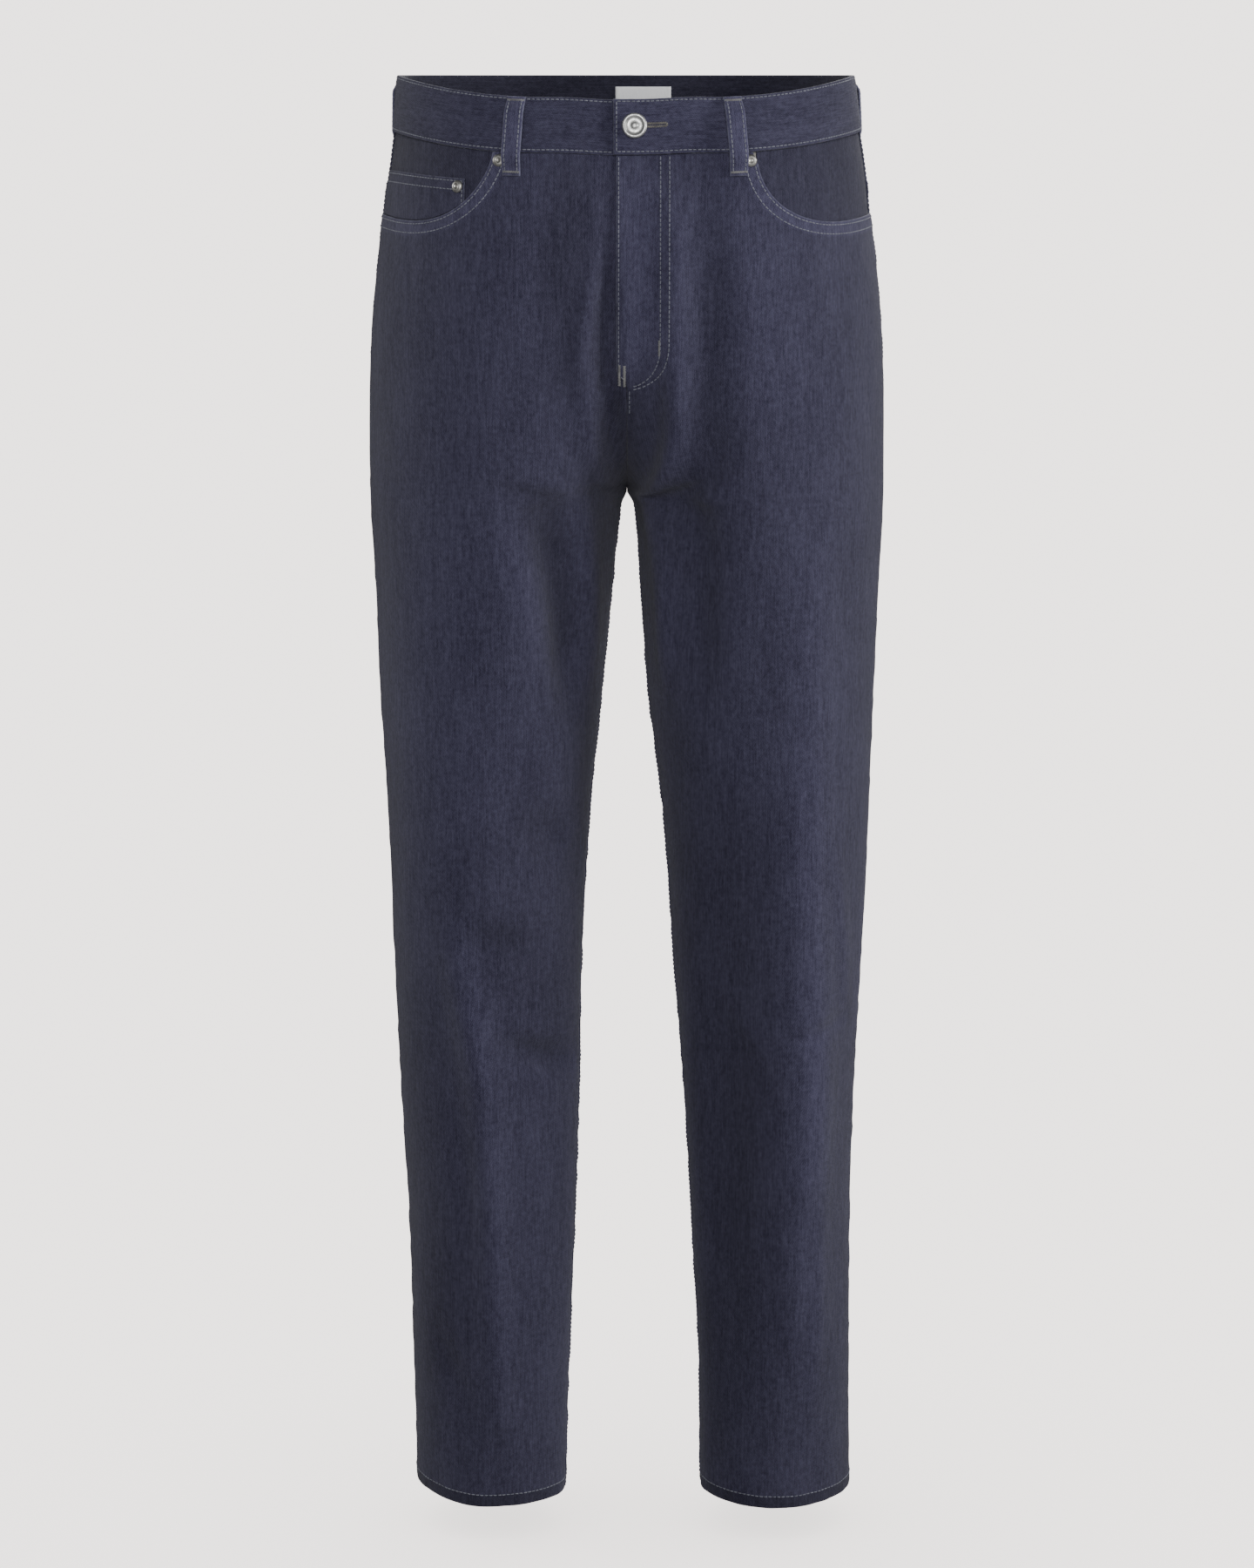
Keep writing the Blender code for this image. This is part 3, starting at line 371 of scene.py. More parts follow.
@dataclass
class Relief:
    """How far the cloth stands off the bare form: folds, soft unevenness and the puckers of its seams."""

    pucker: float = 0.00055
    pucker_reach: float = 0.008
    pucker_length: float = 0.0085
    rope: float = 0.00050
    rope_reach: float = 0.011
    rope_length: float = 0.0075
    swell: float = 0.0010
    swell_size: Span = (0.055, 0.115)  # across and along
    ripple: float = 0.00028
    ripple_size: Span = (0.015, 0.034)
    noises: dict[str, Unevenness] = field(default_factory=dict)

    def noise(self, name: str) -> Unevenness:
        """The noise that belongs to a seam or a panel, made when it is first asked for.

        Args:
            name: The seam or panel.

        Returns:
            Its noise.
        """
        if name not in self.noises:
            self.noises[name] = Unevenness(sum(ord(letter) * (i + 7) for i, letter in enumerate(name)))
        return self.noises[name]

    def folds(self, half: Half, share: Array, level: Array) -> Array:
        """Height of the listed folds.

        Args:
            half: Half of a leg.
            share: Share of the way across.
            level: Level of each place.

        Returns:
            Heights in metres.
        """
        total = np.zeros(np.broadcast(share, level).shape)
        for folds, seam_share in ((MAIN_FOLDS, FOLD_SEAM_SHARE), (FINE_FOLDS, FINE_SEAM_SHARE)):
            middle = self.middle(share, seam_share)
            for fold in map(Fold._make, folds[half]):
                t, near = self.beside(fold, share, level)
                total += fold.depth * np.sin(np.pi * (FOLD_TAPER + (1 - 2 * FOLD_TAPER) * t)) * near * middle
        return total

    @staticmethod
    def beside(fold: Fold, share: Array, level: Array) -> Pair:
        """Where places lie beside a fold.

        Args:
            fold: The fold or patch.
            share: Share of the way across.
            level: Level of each place.

        Returns:
            How far along it each place lies, and how near to it, both from 0 to 1.
        """
        start = np.array([fold.across_a * FOLD_SPAN, fold.level_a])
        run = np.array([fold.across_b * FOLD_SPAN, fold.level_b]) - start
        du, dv = share * FOLD_SPAN - start[0], level - start[1]
        t = np.clip((du * run[0] + dv * run[1]) / (run @ run), 0.0, 1.0)
        away = np.hypot(du - t * run[0], dv - t * run[1]) / fold.width
        return t, np.exp(-away * away)

    def fade(self, half: Half, share: Array, level: Array) -> Array:
        """How much paler the colour is: wear on the ridges, painted shade in the troughs, and painted light and
        shade elsewhere.

        Args:
            half: Half of a leg.
            share: Share of the way across.
            level: Level of each place.

        Returns:
            Shares, below 0 where the colour is darker.
        """
        # Painted highlight at the inseam, wear on ridges with painted shade in troughs, a darker hem, painted
        # shade on the lower legs and patches of painted light and shade.
        leg = smoothstep(CROTCH + 0.010, CROTCH - 0.040, level)
        total = INSEAM_PAINTED_HIGHLIGHT * leg * np.exp(-((share * FOLD_SPAN / INSEAM_HIGHLIGHT_REACH) ** 2))
        total = total + RIDGE_WEAR_AND_SHADE * self.folds(half, share, level)
        total = total + HEM_DARKENING * smoothstep(0.0095, 0.0080, level - HEM)
        total = total + CALF_PAINTED_SHADE * smoothstep(-0.55, -0.95, level)
        for patch in map(Fold._make, PAINTED_LIGHT_AND_SHADE_PATCHES.get(half, ())):
            total += patch.depth * self.beside(patch, share, level)[1]
        return total

    @staticmethod
    def middle(share: Array, seam_share: float) -> Array:
        """1 in the middle of a panel, falling to 0 at its seams over a share of its width."""
        return smoothstep(0, seam_share, share) * smoothstep(1, 1 - seam_share, share)

    def height(self, half: Half, share: Array, level: Array, width: Array) -> Array:
        """Height of the cloth over the bare form.

        Args:
            half: Half of a leg.
            share: Share of the way across.
            level: Level of each place.
            width: Width of the half at each place.

        Returns:
            Heights in metres.
        """
        side, face = half
        key = side.name + face.name
        across, steps = share * width, level / self.pucker_length
        below = smoothstep(WAIST_SEAM + 0.004, WAIST_SEAM - 0.05, level)
        leg = smoothstep(CROTCH + 0.03, CROTCH - 0.02, level)
        seat = (1 - leg) * smoothstep(FLY_SEAM + 0.01 if face is F else WAIST_SEAM, CROTCH, level)
        swell_noise, ripple_noise = self.noise(key), self.noise(key + "small")
        swell = self.swell * swell_noise.read(across / self.swell_size[0], level / self.swell_size[1])
        ripple = self.ripple * ripple_noise.read(across / self.ripple_size[0], level / self.ripple_size[1])
        total = self.folds(half, share, level) + (swell + ripple) * self.middle(share, FOLD_SEAM_SHARE) * below
        at_inner = np.exp(-((across / self.pucker_reach) ** 2))
        at_outer = np.exp(-(((width - across) / self.pucker_reach) ** 2))
        inseam, centre = (self.noise(name).read(steps) for name in ("inseam" + side.name, "centre" + face.name))
        outer = below * self.noise("outseam" + side.name).read(steps)
        total = total + self.pucker * (at_inner * (leg * inseam + seat * centre) + at_outer * outer)
        at_hem = np.exp(-(((level - HEM - 0.004) / self.rope_reach) ** 2))
        around = -face.value * across / self.rope_length
        return total + self.rope * at_hem * self.noise("rope" + side.name).read(around + level / 0.011)


class HalfTube(NamedTuple):
    """Half a leg's sections, sampled evenly."""

    points: Array
    normals: Array
    widths: Array


class Form:
    """The surface that every cloth piece lies on, sampled once and read between its samples."""

    STEP = 0.002
    SHARES = 180
    CURVE_STEPS = 150
    ROUND = 0.56
    GRAIN_X = 0.098
    SHARED = 0.006  # over this distance front and back come to share a normal at their seam

    def __init__(self, relief: Relief) -> None:
        """Samples the four half tubes.

        Args:
            relief: How far the cloth stands off the bare form.
        """
        self.relief = relief
        self.levels = np.arange(HEM - self.STEP, WAIST_TOP + 1.5 * self.STEP, self.STEP)
        bare = {(side, face): self.sections((side, face)) for side in Side for face in Face}
        plain = {half: self.slope_normals(half, points) for half, (points, _) in bare.items()}
        self.halves: dict[Half, HalfTube] = {}
        for half, (points, widths) in bare.items():
            side, face = half
            across = np.linspace(0, 1, self.SHARES + 1) * widths[:, None]
            other = plain[side, face.other]
            leg = (self.levels <= CROTCH)[:, None, None]
            beyond = np.where(leg, other[:, :1], plain[side.other, face][:, :1])
            share = smoothstep(self.SHARED, 0, widths[:, None] - across)[..., None]
            normals = plain[half] + share * other[:, -1:]
            normals = normals + smoothstep(self.SHARED, 0, across)[..., None] * beyond
            self.halves[half] = HalfTube(points, unit(normals), widths)

    def sections(self, half: Half) -> Pair:
        """Samples half a leg: two Beziers from the inner seam to the far point and on to the outseam.

        Args:
            half: The half.

        Returns:
            Points by level and share, and the width of the half at each level.
        """
        side, face = half
        outer_x, inner_x = Table(OUTLINE[side]).read(self.levels).T
        front_y, back_y, outseam_y, across, lift = Table(DEPTH).read(self.levels).T
        far_y = front_y if face is F else back_y
        seams = Table(SEAM).read(self.levels).T
        inner_y, inner_z, turn = seams[:3] if face is F else seams[3:]
        level = np.clip(self.levels, HEM, WAIST_TOP)
        at_hem = smoothstep(HEM_DROP_START, HEM, level)
        inner_z = inner_z - HEM_DROP[side] * at_hem
        outer_z = level + HEM_RISE[side] * at_hem
        far_x = inner_x + across * (outer_x - inner_x)
        far_z = inner_z + lift * (outer_z - inner_z) - HEM_SAG * at_hem
        turn, flat, way = np.radians(turn), 0 * level, face.value * self.ROUND
        reach = self.ROUND * (far_x - inner_x)
        inner = np.stack([inner_x, inner_y, inner_z], 1)
        far = np.stack([far_x, far_y, far_z], 1)
        outer = np.stack([outer_x, outseam_y, outer_z], 1)
        aside = way * np.abs(far_y - inner_y)
        leaving = inner + np.stack([reach * np.cos(turn), aside * np.sin(turn), flat], 1)
        before = far - np.stack([reach, flat, flat], 1)
        after = far + np.stack([self.ROUND * (outer_x - far_x), flat, flat], 1)
        entering = outer + np.stack([flat, way * np.abs(far_y - outseam_y), flat], 1)
        curves = [self.bezier(inner, leaving, before, far), self.bezier(far, after, entering, outer)]
        curve = np.concatenate(curves, 1)
        curve[..., 0] = side.value * np.maximum(curve[..., 0], 0.0)
        steps = np.linalg.norm(np.diff(curve, axis=1), axis=2)
        along = np.concatenate([np.zeros((len(level), 1)), np.cumsum(steps, axis=1)], 1)
        shares = np.linspace(0, 1, self.SHARES + 1)
        points = np.array([
            np.stack([np.interp(shares * a[-1], a, c[:, k]) for k in range(3)], 1) for a, c in zip(along, curve)
        ])
        return points, along[:, -1]

    def bezier(self, start: Array, leaving: Array, entering: Array, end: Array) -> Array:
        """Points along one cubic Bezier for each level.

        Args:
            start: Where each starts.
            leaving: The handle after its start.
            entering: The handle before its end.
            end: Where each ends.

        Returns:
            Points by level and step.
        """
        t = np.linspace(0, 1, self.CURVE_STEPS)[None, :, None]
        s = 1 - t
        a, b, c, d = (p[:, None, :] for p in (start, leaving, entering, end))
        return s**3 * a + 3 * s * s * t * b + 3 * s * t * t * c + t**3 * d

    @staticmethod
    def slope_normals(half: Half, points: Array) -> Array:
        """Unit normals of a half tube that point away from the wearer.

        Args:
            half: Half of a leg.
            points: Its points by level and share.

        Returns:
            One normal for each point.
        """
        normal = np.cross(np.gradient(points, axis=1), np.gradient(points, axis=0))
        normal = normal * (-half[0].value * half[1].value)
        normal[0], normal[-1] = normal[1], normal[-2]
        return unit(normal)

    def width(self, half: Half, level: Values) -> Array:
        """Length of half a section, from the inner seam to the outseam."""
        return np.interp(level, self.levels, self.halves[half].widths)

    def reach_share(self, x: float, reach: Array) -> float:
        """Share across at which a section, given by its x without sign, reaches a given x."""
        widest = int(np.argmax(reach)) + 1
        return np.interp(x, reach[:widest], np.linspace(0, 1, self.SHARES + 1)[:widest])

    @cached_property
    def grain(self) -> dict[Half, Array]:
        """Distance of each panel's grain line, which hangs straight down, from the inner seam."""
        return {
            key: half.widths * [self.reach_share(self.GRAIN_X, x) for x in np.abs(half.points[..., 0])]
            for key, half in self.halves.items()
        }

    def pattern(self, half: Half, distance: Array, level: Array, shift: float) -> Pair:
        """Where places lie on the cut cloth, whose threads run along the grain line.

        Args:
            half: Half of a leg.
            distance: Distances from the inner seam.
            level: Level of each place.
            shift: Distance on the roll from other pieces.

        Returns:
            Places across the cloth, counted to the right as it is seen, and along it.
        """
        distance, level = together(distance, level)
        from_grain = distance - np.interp(level, self.levels, self.grain[half])
        return shift - half[0].value * half[1].value * from_grain, level

    def between(self, table: Array, share: Array, level: Array) -> Array:
        """Reads vectors sampled by level and share between their samples.

        Args:
            table: The vectors.
            share: Share of the way across.
            level: Level of each place.

        Returns:
            One vector for each place.
        """
        row = np.clip((level - self.levels[0]) / self.STEP, 0, len(self.levels) - 1.001)
        column = np.clip(share, 0, 1) * self.SHARES * 0.999999
        i, j = row.astype(int), column.astype(int)
        s, t = (row - i)[..., None], (column - j)[..., None]
        low = table[i, j] * (1 - t) + table[i, j + 1] * t
        high = table[i + 1, j] * (1 - t) + table[i + 1, j + 1] * t
        return low * (1 - s) + high * s

    def spots(self, half: Half, distance: Values, level: Values, out: Values = 0.0) -> Pair:
        """Points on the cloth and the normals there. A place before the inner seam is on the other leg's half.

        Args:
            half: Half of a leg.
            distance: Distances from the inner seam.
            level: Level of each place.
            out: How far to move out from the cloth's face.

        Returns:
            Points and unit normals.
        """
        distance, level, out = together(distance, level, out)
        points, normals = self.half_spots(half, np.maximum(distance, 0), level, out)
        if (distance < 0).any():
            over, over_normals = self.half_spots((half[0].other, half[1]), np.maximum(-distance, 0), level, out)
            crossed = (distance < 0)[..., None]
            points, normals = np.where(crossed, over, points), np.where(crossed, over_normals, normals)
        return points, normals

    def half_spots(self, half: Half, distance: Array, level: Array, out: Array) -> Pair:
        """Points and normals of places that all lie on one half.

        Args:
            half: Half of a leg.
            distance: Distances from the inner seam.
            level: Level of each place.
            out: How far to move out from the cloth's face.

        Returns:
            Points and unit normals.
        """
        tube, width = self.halves[half], self.width(half, level)
        share = np.clip(distance / width, 0, 1)
        normals = unit(self.between(tube.normals, share, level))
        lift = out + self.relief.height(half, share, level, width)
        return self.between(tube.points, share, level) + normals * lift[..., None], normals

    def distance_at_x(self, half: Half, x: float, level: float) -> float:
        """Finds where a section reaches a given x.

        Args:
            half: Half of a leg.
            x: The x, without its sign.
            level: The section's level.

        Returns:
            Its distance from the inner seam.
        """
        shares = np.linspace(0, 1, self.SHARES + 1)
        reach = np.abs(self.between(self.halves[half].points, shares, np.full(len(shares), level))[:, 0])
        return float(self.reach_share(x, reach) * self.width(half, level))


# ---------- finishes ----------


class Graph:
    """Short ways to add nodes to a shader tree."""

    def __init__(self, tree: Tree) -> None:
        """Takes the tree to add to."""
        self.tree = tree

    def give(self, node: Node, inputs: dict[str | int, object]) -> None:
        """Links or sets a node's inputs.

        Args:
            node: The node.
            inputs: Sockets or constant values, by the names or numbers of the inputs.
        """
        for name, value in inputs.items():
            if isinstance(value, Socket):
                self.tree.links.new(value, node.inputs[name])
            else:
                node.inputs[name].default_value = value

    def add(self, kind: str, inputs: dict[str | int, object] | None = None, **settings: object) -> Node:
        """Adds a node.

        Args:
            kind: The node's type.
            inputs: Values or sockets for its inputs.
            settings: Properties of the node itself.

        Returns:
            The node.
        """
        node = self.tree.nodes.new(kind)
        for name, value in settings.items():
            setattr(node, name, value)
        self.give(node, inputs or {})
        return node

    def math(self, operation: str, *values: Socket | float, clamp: bool = False) -> Socket:
        """One Math node over its values."""
        inputs = dict(enumerate(values))
        return self.add("ShaderNodeMath", inputs, operation=operation, use_clamp=clamp).outputs[0]

    def plus(self, *values: Socket | float, clamp: bool = False) -> Socket:
        """The sum of two values."""
        return self.math("ADD", *values, clamp=clamp)

    def times(self, *values: Socket | float, clamp: bool = False) -> Socket:
        """The product of two values."""
        return self.math("MULTIPLY", *values, clamp=clamp)

    def mix(self, factor: Socket | float, a: Socket | Colour, b: Socket | Colour, blend: str = "MIX") -> Socket:
        """Mixes two colours."""
        return self.add("ShaderNodeMix", {0: factor, 6: a, 7: b}, data_type="RGBA", blend_type=blend).outputs[2]

    def span(self, value: Socket, low: float, high: float, start: float = 0.0, end: float = 1.0) -> Socket:
        """Maps a range of values to another, and holds it there."""
        inputs = {"Value": value, "From Min": low, "From Max": high, "To Min": start, "To Max": end}
        return self.add("ShaderNodeMapRange", inputs).outputs[0]

    def attribute(self, name: str) -> Socket:
        """A value stored on the mesh."""
        return self.add("ShaderNodeAttribute", attribute_name=name).outputs["Fac"]

    def group(self, tree: Tree, **inputs: float) -> Node:
        """Places a shared effect with its own values."""
        return self.add("ShaderNodeGroup", inputs, node_tree=tree)

    def noise(self, place: Socket, scale: float, detail: float, **settings: str) -> Socket:
        """Noise at a place, from 0 to 1."""
        inputs = {"Vector": place, "Scale": scale, "Detail": detail}
        return self.add("ShaderNodeTexNoise", inputs, **settings).outputs[0]

    def flat_noise(self, u: Socket, v: Socket, scale: float, detail: float) -> Socket:
        """Noise over two values, from -0.5 to 0.5."""
        place = self.add("ShaderNodeCombineXYZ", {0: u, 1: v}).outputs[0]
        return self.math("SUBTRACT", self.noise(place, scale, detail, noise_dimensions="2D"), 0.5)

    def cloth_place(self) -> tuple[Socket, Socket]:
        """Place across and along the cut cloth, in metres."""
        place = self.add("ShaderNodeSeparateXYZ", {0: self.add("ShaderNodeUVMap", uv_map=PATTERN).outputs[0]})
        return place.outputs[0], place.outputs[1]

    def dress(self, shader: Node, colour: Socket, height: Socket, strength: float, depth: float) -> None:
        """Gives a shader its colour and its fine relief."""
        bump = self.add("ShaderNodeBump", {"Height": height, "Strength": strength, "Distance": depth})
        self.give(shader, {"Base Color": colour, "Normal": bump.outputs[0]})


def new_group(
    name: str, inputs: dict[str, float], *outputs: str
) -> tuple[Graph, bpy.types.NodeOutputs, Node]:
    """Starts a node group of plain values.

    Args:
        name: The group's name.
        inputs: Its inputs, with their usual values.
        outputs: Its outputs.

    Returns:
        The group's graph, what its input node gives and its output node.
    """
    tree = bpy.data.node_groups.new(name, "ShaderNodeTree")
    for label, value in inputs.items():
        socket = tree.interface.new_socket(name=label, in_out="INPUT", socket_type="NodeSocketFloat")
        socket.default_value = value
    for label in outputs:
        tree.interface.new_socket(name=label, in_out="OUTPUT", socket_type="NodeSocketFloat")
    graph = Graph(tree)
    return graph, graph.add("NodeGroupInput").outputs, graph.add("NodeGroupOutput")


class Effects:
    """Effects that several materials share, each a node group that is built once."""

    @cached_property
    def streaks(self) -> Tree:
        """Uneven yarn or dye: blotches of a given width and length, from -1 to 1."""
        graph, given, made = new_group("yarn_streaks", {"Width": 0.001, "Length": 0.02, "Shift": 0.0}, "Value")
        across, along = graph.cloth_place()
        u = graph.plus(graph.math("DIVIDE", across, given["Width"]), given["Shift"])
        v = graph.math("DIVIDE", along, given["Length"])
        place = graph.add("ShaderNodeCombineXYZ", {0: u, 1: v}).outputs[0]
        inputs = {"Vector": place, "Scale": 1.0, "Detail": 1.5, "Roughness": 0.6}
        noise = graph.add("ShaderNodeTexNoise", inputs, noise_dimensions="2D").outputs[0]
        value = graph.math("MINIMUM", graph.times(graph.math("SUBTRACT", noise, 0.5), 4.0), 1.0)
        graph.give(made, {"Value": graph.math("MAXIMUM", value, -1.0)})
        return graph.tree

    @cached_property
    def twill(self) -> Tree:
        """Steep diagonal wales that rise to the right, broken into yarns, with flecks of weft between them."""
        inputs = {"Wale": 0.0013, "Yarn": 0.0011, "Waver": 0.35}
        graph, given, made = new_group("twill_weave", inputs, "Height", "Weft")
        across, along = graph.cloth_place()
        waver = graph.times(graph.flat_noise(across, along, 260.0, 1.0), given["Waver"])
        lean = graph.math("SUBTRACT", across, graph.times(along, 0.5))
        turns = graph.plus(graph.math("DIVIDE", lean, given["Wale"]), waver)
        wale = graph.math("SINE", graph.times(turns, math.tau))
        beats = graph.times(graph.math("DIVIDE", along, given["Yarn"]), math.tau)
        yarn = graph.math("SINE", graph.plus(beats, graph.times(turns, math.pi)))
        height = graph.plus(graph.plus(graph.times(wale, 0.36), graph.times(yarn, 0.14)), 0.5)
        weft = graph.span(graph.plus(wale, graph.times(yarn, 0.45)), -0.55, -1.25)
        graph.give(made, {"Height": height, "Weft": weft})
        return graph.tree

    @cached_property
    def worn(self) -> Tree:
        """Patchy paling along turned edges and on raised seams."""
        graph, given, made = new_group("worn_edges", {"Patch": 0.004, "Reach": 0.5}, "Mask")
        u, v = (graph.math("DIVIDE", x, given["Patch"]) for x in graph.cloth_place())
        near = graph.attribute(EDGE)
        level = graph.plus(near, graph.times(graph.flat_noise(u, v, 1.0, 2.0), 0.9))
        start = graph.math("SUBTRACT", 1.0, given["Reach"])
        mask = graph.math("DIVIDE", graph.math("SUBTRACT", level, start), 0.5, clamp=True)
        graph.give(made, {"Mask": graph.times(mask, near, clamp=True)})
        return graph.tree

    @cached_property
    def plain_weave(self) -> Tree:
        """Fine threads that cross over and under each other."""
        graph, given, made = new_group("plain_weave", {"Thread": 0.0005}, "Height")
        turn = graph.math("DIVIDE", math.pi, given["Thread"])
        u, v = (graph.math("SINE", graph.times(x, turn)) for x in graph.cloth_place())
        graph.give(made, {"Height": graph.plus(graph.times(graph.times(u, v), 0.5), 0.5)})
        return graph.tree


def new_material(name: str, roughness: float, **values: object) -> tuple[Material, Graph, Node]:
    """Starts a material with its shader.

    Args:
        name: The material's name.
        roughness: How matt it is.
        values: Other constant inputs of the shader, with _ for a space.

    Returns:
        The material, its graph and its Principled node.
    """
    material = bpy.data.materials.new(name)
    material.use_nodes = True
    shader = material.node_tree.nodes["Principled BSDF"]
    shader.inputs["Roughness"].default_value = roughness
    for label, value in values.items():
        shader.inputs[label.replace("_", " ")].default_value = value
    return material, Graph(material.node_tree), shader


@dataclass(frozen=True)
class Denim:
    """Dry indigo twill with dark warp yarns over paler weft."""

    name: str
    warp: Colour
    weft: Colour
    worn: Colour
    weft_share: float = 0.16
    contrast: float = 1.2
    fuzz: float = 0.10

    def build(self, effects: Effects) -> Material:
        """Makes the material.

        Args:
            effects: The shared node groups.

        Returns:
            The material.
        """
        material, graph, shader = new_material(
            self.name, 0.86, Sheen_Weight=self.fuzz, Sheen_Roughness=0.55, Specular_IOR_Level=0.22
        )
        weave = graph.group(effects.twill)
        tone: Socket | float = 0.0
        for width, length, shift, strength in (
            (0.0009, 0.016, 0.0, 0.46),
            (0.0016, 0.0022, 5.1, 0.34),
            (0.0036, 0.0050, 7.3, 0.36),
            (0.0070, 0.045, 3.1, 0.22),
            (0.0500, 0.120, 11.7, 0.22),
        ):
            streak = graph.group(effects.streaks, Width=width, Length=length, Shift=shift)
            tone = graph.plus(tone, graph.times(streak.outputs[0], strength * self.contrast))
        flecks = graph.times(weave.outputs["Weft"], self.weft_share * 1.6)
        blend = graph.plus(graph.plus(graph.times(tone, self.weft_share), flecks), self.weft_share, clamp=True)
        colour = graph.mix(blend, self.warp, self.weft)
        colour = graph.mix(graph.times(graph.group(effects.worn).outputs[0], 0.55), colour, self.worn)
        # The colour is scaled by wear and by painted light and painted shade, which the mesh carries.
        colour = graph.mix(1.0, colour, graph.plus(graph.attribute(PAINTED_LIGHT_AND_WEAR), 1.0), blend="MULTIPLY")
        graph.dress(shader, colour, graph.plus(weave.outputs["Height"], graph.times(tone, 0.9)), 0.55, 0.00022)
        graph.give(shader, {"Roughness": graph.span(tone, -1, 1, 0.92, 0.78)})
        return material


@dataclass(frozen=True)
class WovenCloth:
    """Plain woven cloth, such as a pocket's bag, a tape or a label."""

    name: str
    colour: Colour
    shade: Colour
    thread: float = 0.0005
    roughness: float = 0.85
    fuzz: float = 0.1

    def build(self, effects: Effects) -> Material:
        """Makes the material.

        Args:
            effects: The shared node groups.

        Returns:
            The material.
        """
        material, graph, shader = new_material(self.name, self.roughness, Sheen_Weight=self.fuzz)
        weave = graph.group(effects.plain_weave, Thread=self.thread).outputs[0]
        streak = graph.group(effects.streaks, Width=self.thread * 4, Length=self.thread * 14).outputs[0]
        tone = graph.plus(graph.times(streak, 0.35), weave)
        graph.dress(shader, graph.mix(graph.span(tone, 0, 1.2), self.shade, self.colour), weave, 0.4, 0.00012)
        return material


@dataclass(frozen=True)
class Thread:
    """Sewing thread, whose stitches vary a little along a row."""

    name: str
    colour: Colour
    shade: Colour

    def build(self) -> Material:
        """Makes the material.

        Returns:
            The material.
        """
        material, graph, shader = new_material(self.name, 0.62, Sheen_Weight=0.15, Specular_IOR_Level=0.35)
        noise = graph.noise(graph.add("ShaderNodeTexCoord").outputs["Object"], 210.0, 2.0)
        colour = graph.mix(graph.span(noise, 0.35, 0.65), self.shade, self.colour)
        graph.dress(shader, colour, noise, 0.3, 0.0001)
        return material


@dataclass(frozen=True)
class Metal:
    """Plated metal with a fine brushed grain and dull patches."""

    name: str
    colour: Colour
    dull: Colour
    roughness: float = 0.42

    def build(self) -> Material:
        """Makes the material.

        Returns:
            The material.
        """
        material, graph, shader = new_material(self.name, self.roughness, Metallic=1.0)
        place = graph.add("ShaderNodeTexCoord").outputs["Object"]
        patch, grain = graph.noise(place, 420.0, 3.0), graph.noise(place, 5200.0, 1.0)
        colour = graph.mix(graph.span(patch, 0.42, 0.66), self.colour, self.dull)
        graph.dress(shader, colour, grain, 0.12, 0.00005)
        rough = graph.span(patch, 0.3, 0.7, self.roughness - 0.08, self.roughness + 0.12)
        graph.give(shader, {"Roughness": rough})
        return material


class Wardrobe:
    """All the finishes of the garment, each built once."""

    def __init__(self) -> None:
        """Builds the materials."""
        effects = Effects()
        indigo, pale, worn = (0.0203, 0.0184, 0.0395, 1), (0.127, 0.122, 0.205, 1), (0.150, 0.152, 0.215, 1)
        wrong_side = Denim("denim_wrong_side", (0.05, 0.055, 0.08, 1), (0.30, 0.32, 0.36, 1), worn, 0.45)
        satin = WovenCloth("label_satin", (0.97, 0.97, 0.99, 1), (0.88, 0.88, 0.91, 1), 0.0003, 0.5, 0.0)
        tape = WovenCloth("zip_tape", (0.020, 0.021, 0.033, 1), (0.012, 0.013, 0.02, 1), 0.0008)
        cotton = WovenCloth("pocket_cotton", (0.56, 0.54, 0.49, 1), (0.44, 0.42, 0.37, 1))
        self.cloth = {
            "denim": Denim("dry_indigo_denim", indigo, pale, worn).build(effects),
            "pocketing": cotton.build(effects),
            "zip_tape": tape.build(effects),
            "label": satin.build(effects),
        }
        self.wrong_side = wrong_side.build(effects)
        self.thread = Thread("topstitch_thread", (0.215, 0.220, 0.265, 1), (0.140, 0.145, 0.180, 1)).build()
        self.tack_thread = Thread("bartack_thread", (0.260, 0.255, 0.250, 1), (0.150, 0.148, 0.150, 1)).build()
        hole_thread = Thread("buttonhole_thread", (0.230, 0.215, 0.185, 1), (0.130, 0.122, 0.110, 1))
        self.hole_thread = hole_thread.build()
        self.nickel = Metal("satin_nickel", (0.60, 0.60, 0.59, 1), (0.46, 0.46, 0.45, 1)).build()
        self.antique = Metal("antique_nickel", (0.50, 0.49, 0.46, 1), (0.26, 0.25, 0.23, 1)).build()


# ---------- meshes ----------


@dataclass(frozen=True)
class Cut:
    """The size that a piece of cloth was cut to, as far as it shows."""

    width: float
    length: float
    area: float | None = None


def new_object(name: str, points: Sequence, faces: Sequence, *materials: Material) -> Object:
    """Links a smooth mesh.

    Args:
        name: The piece's name.
        points: Its points, one row each.
        faces: The corners of its faces.
        materials: Its material slots.

    Returns:
        The object.
    """
    mesh = bpy.data.meshes.new(name)
    mesh.from_pydata(points, [], faces)
    for material in materials:
        mesh.materials.append(material)
    mesh.shade_smooth()
    made = bpy.data.objects.new(name, mesh)
    bpy.context.scene.collection.objects.link(made)
    return made


def grid_faces(rows: int, columns: int, closed: bool) -> Array:
    """Quads of a grid of points, row after row; a closed one joins its last column to its first.

    Args:
        rows: How many rows of points there are.
        columns: How many points a row has.
        closed: Whether the last column joins the first.

    Returns:
        The four corners of each quad.
    """
    i = np.arange(rows - 1)[:, None]
    j = np.arange(columns if closed else columns - 1)
    following = (j + 1) % columns
    low, high = i * columns, (i + 1) * columns
    return np.stack([low + j, low + following, high + following, high + j], -1).reshape(-1, 4)


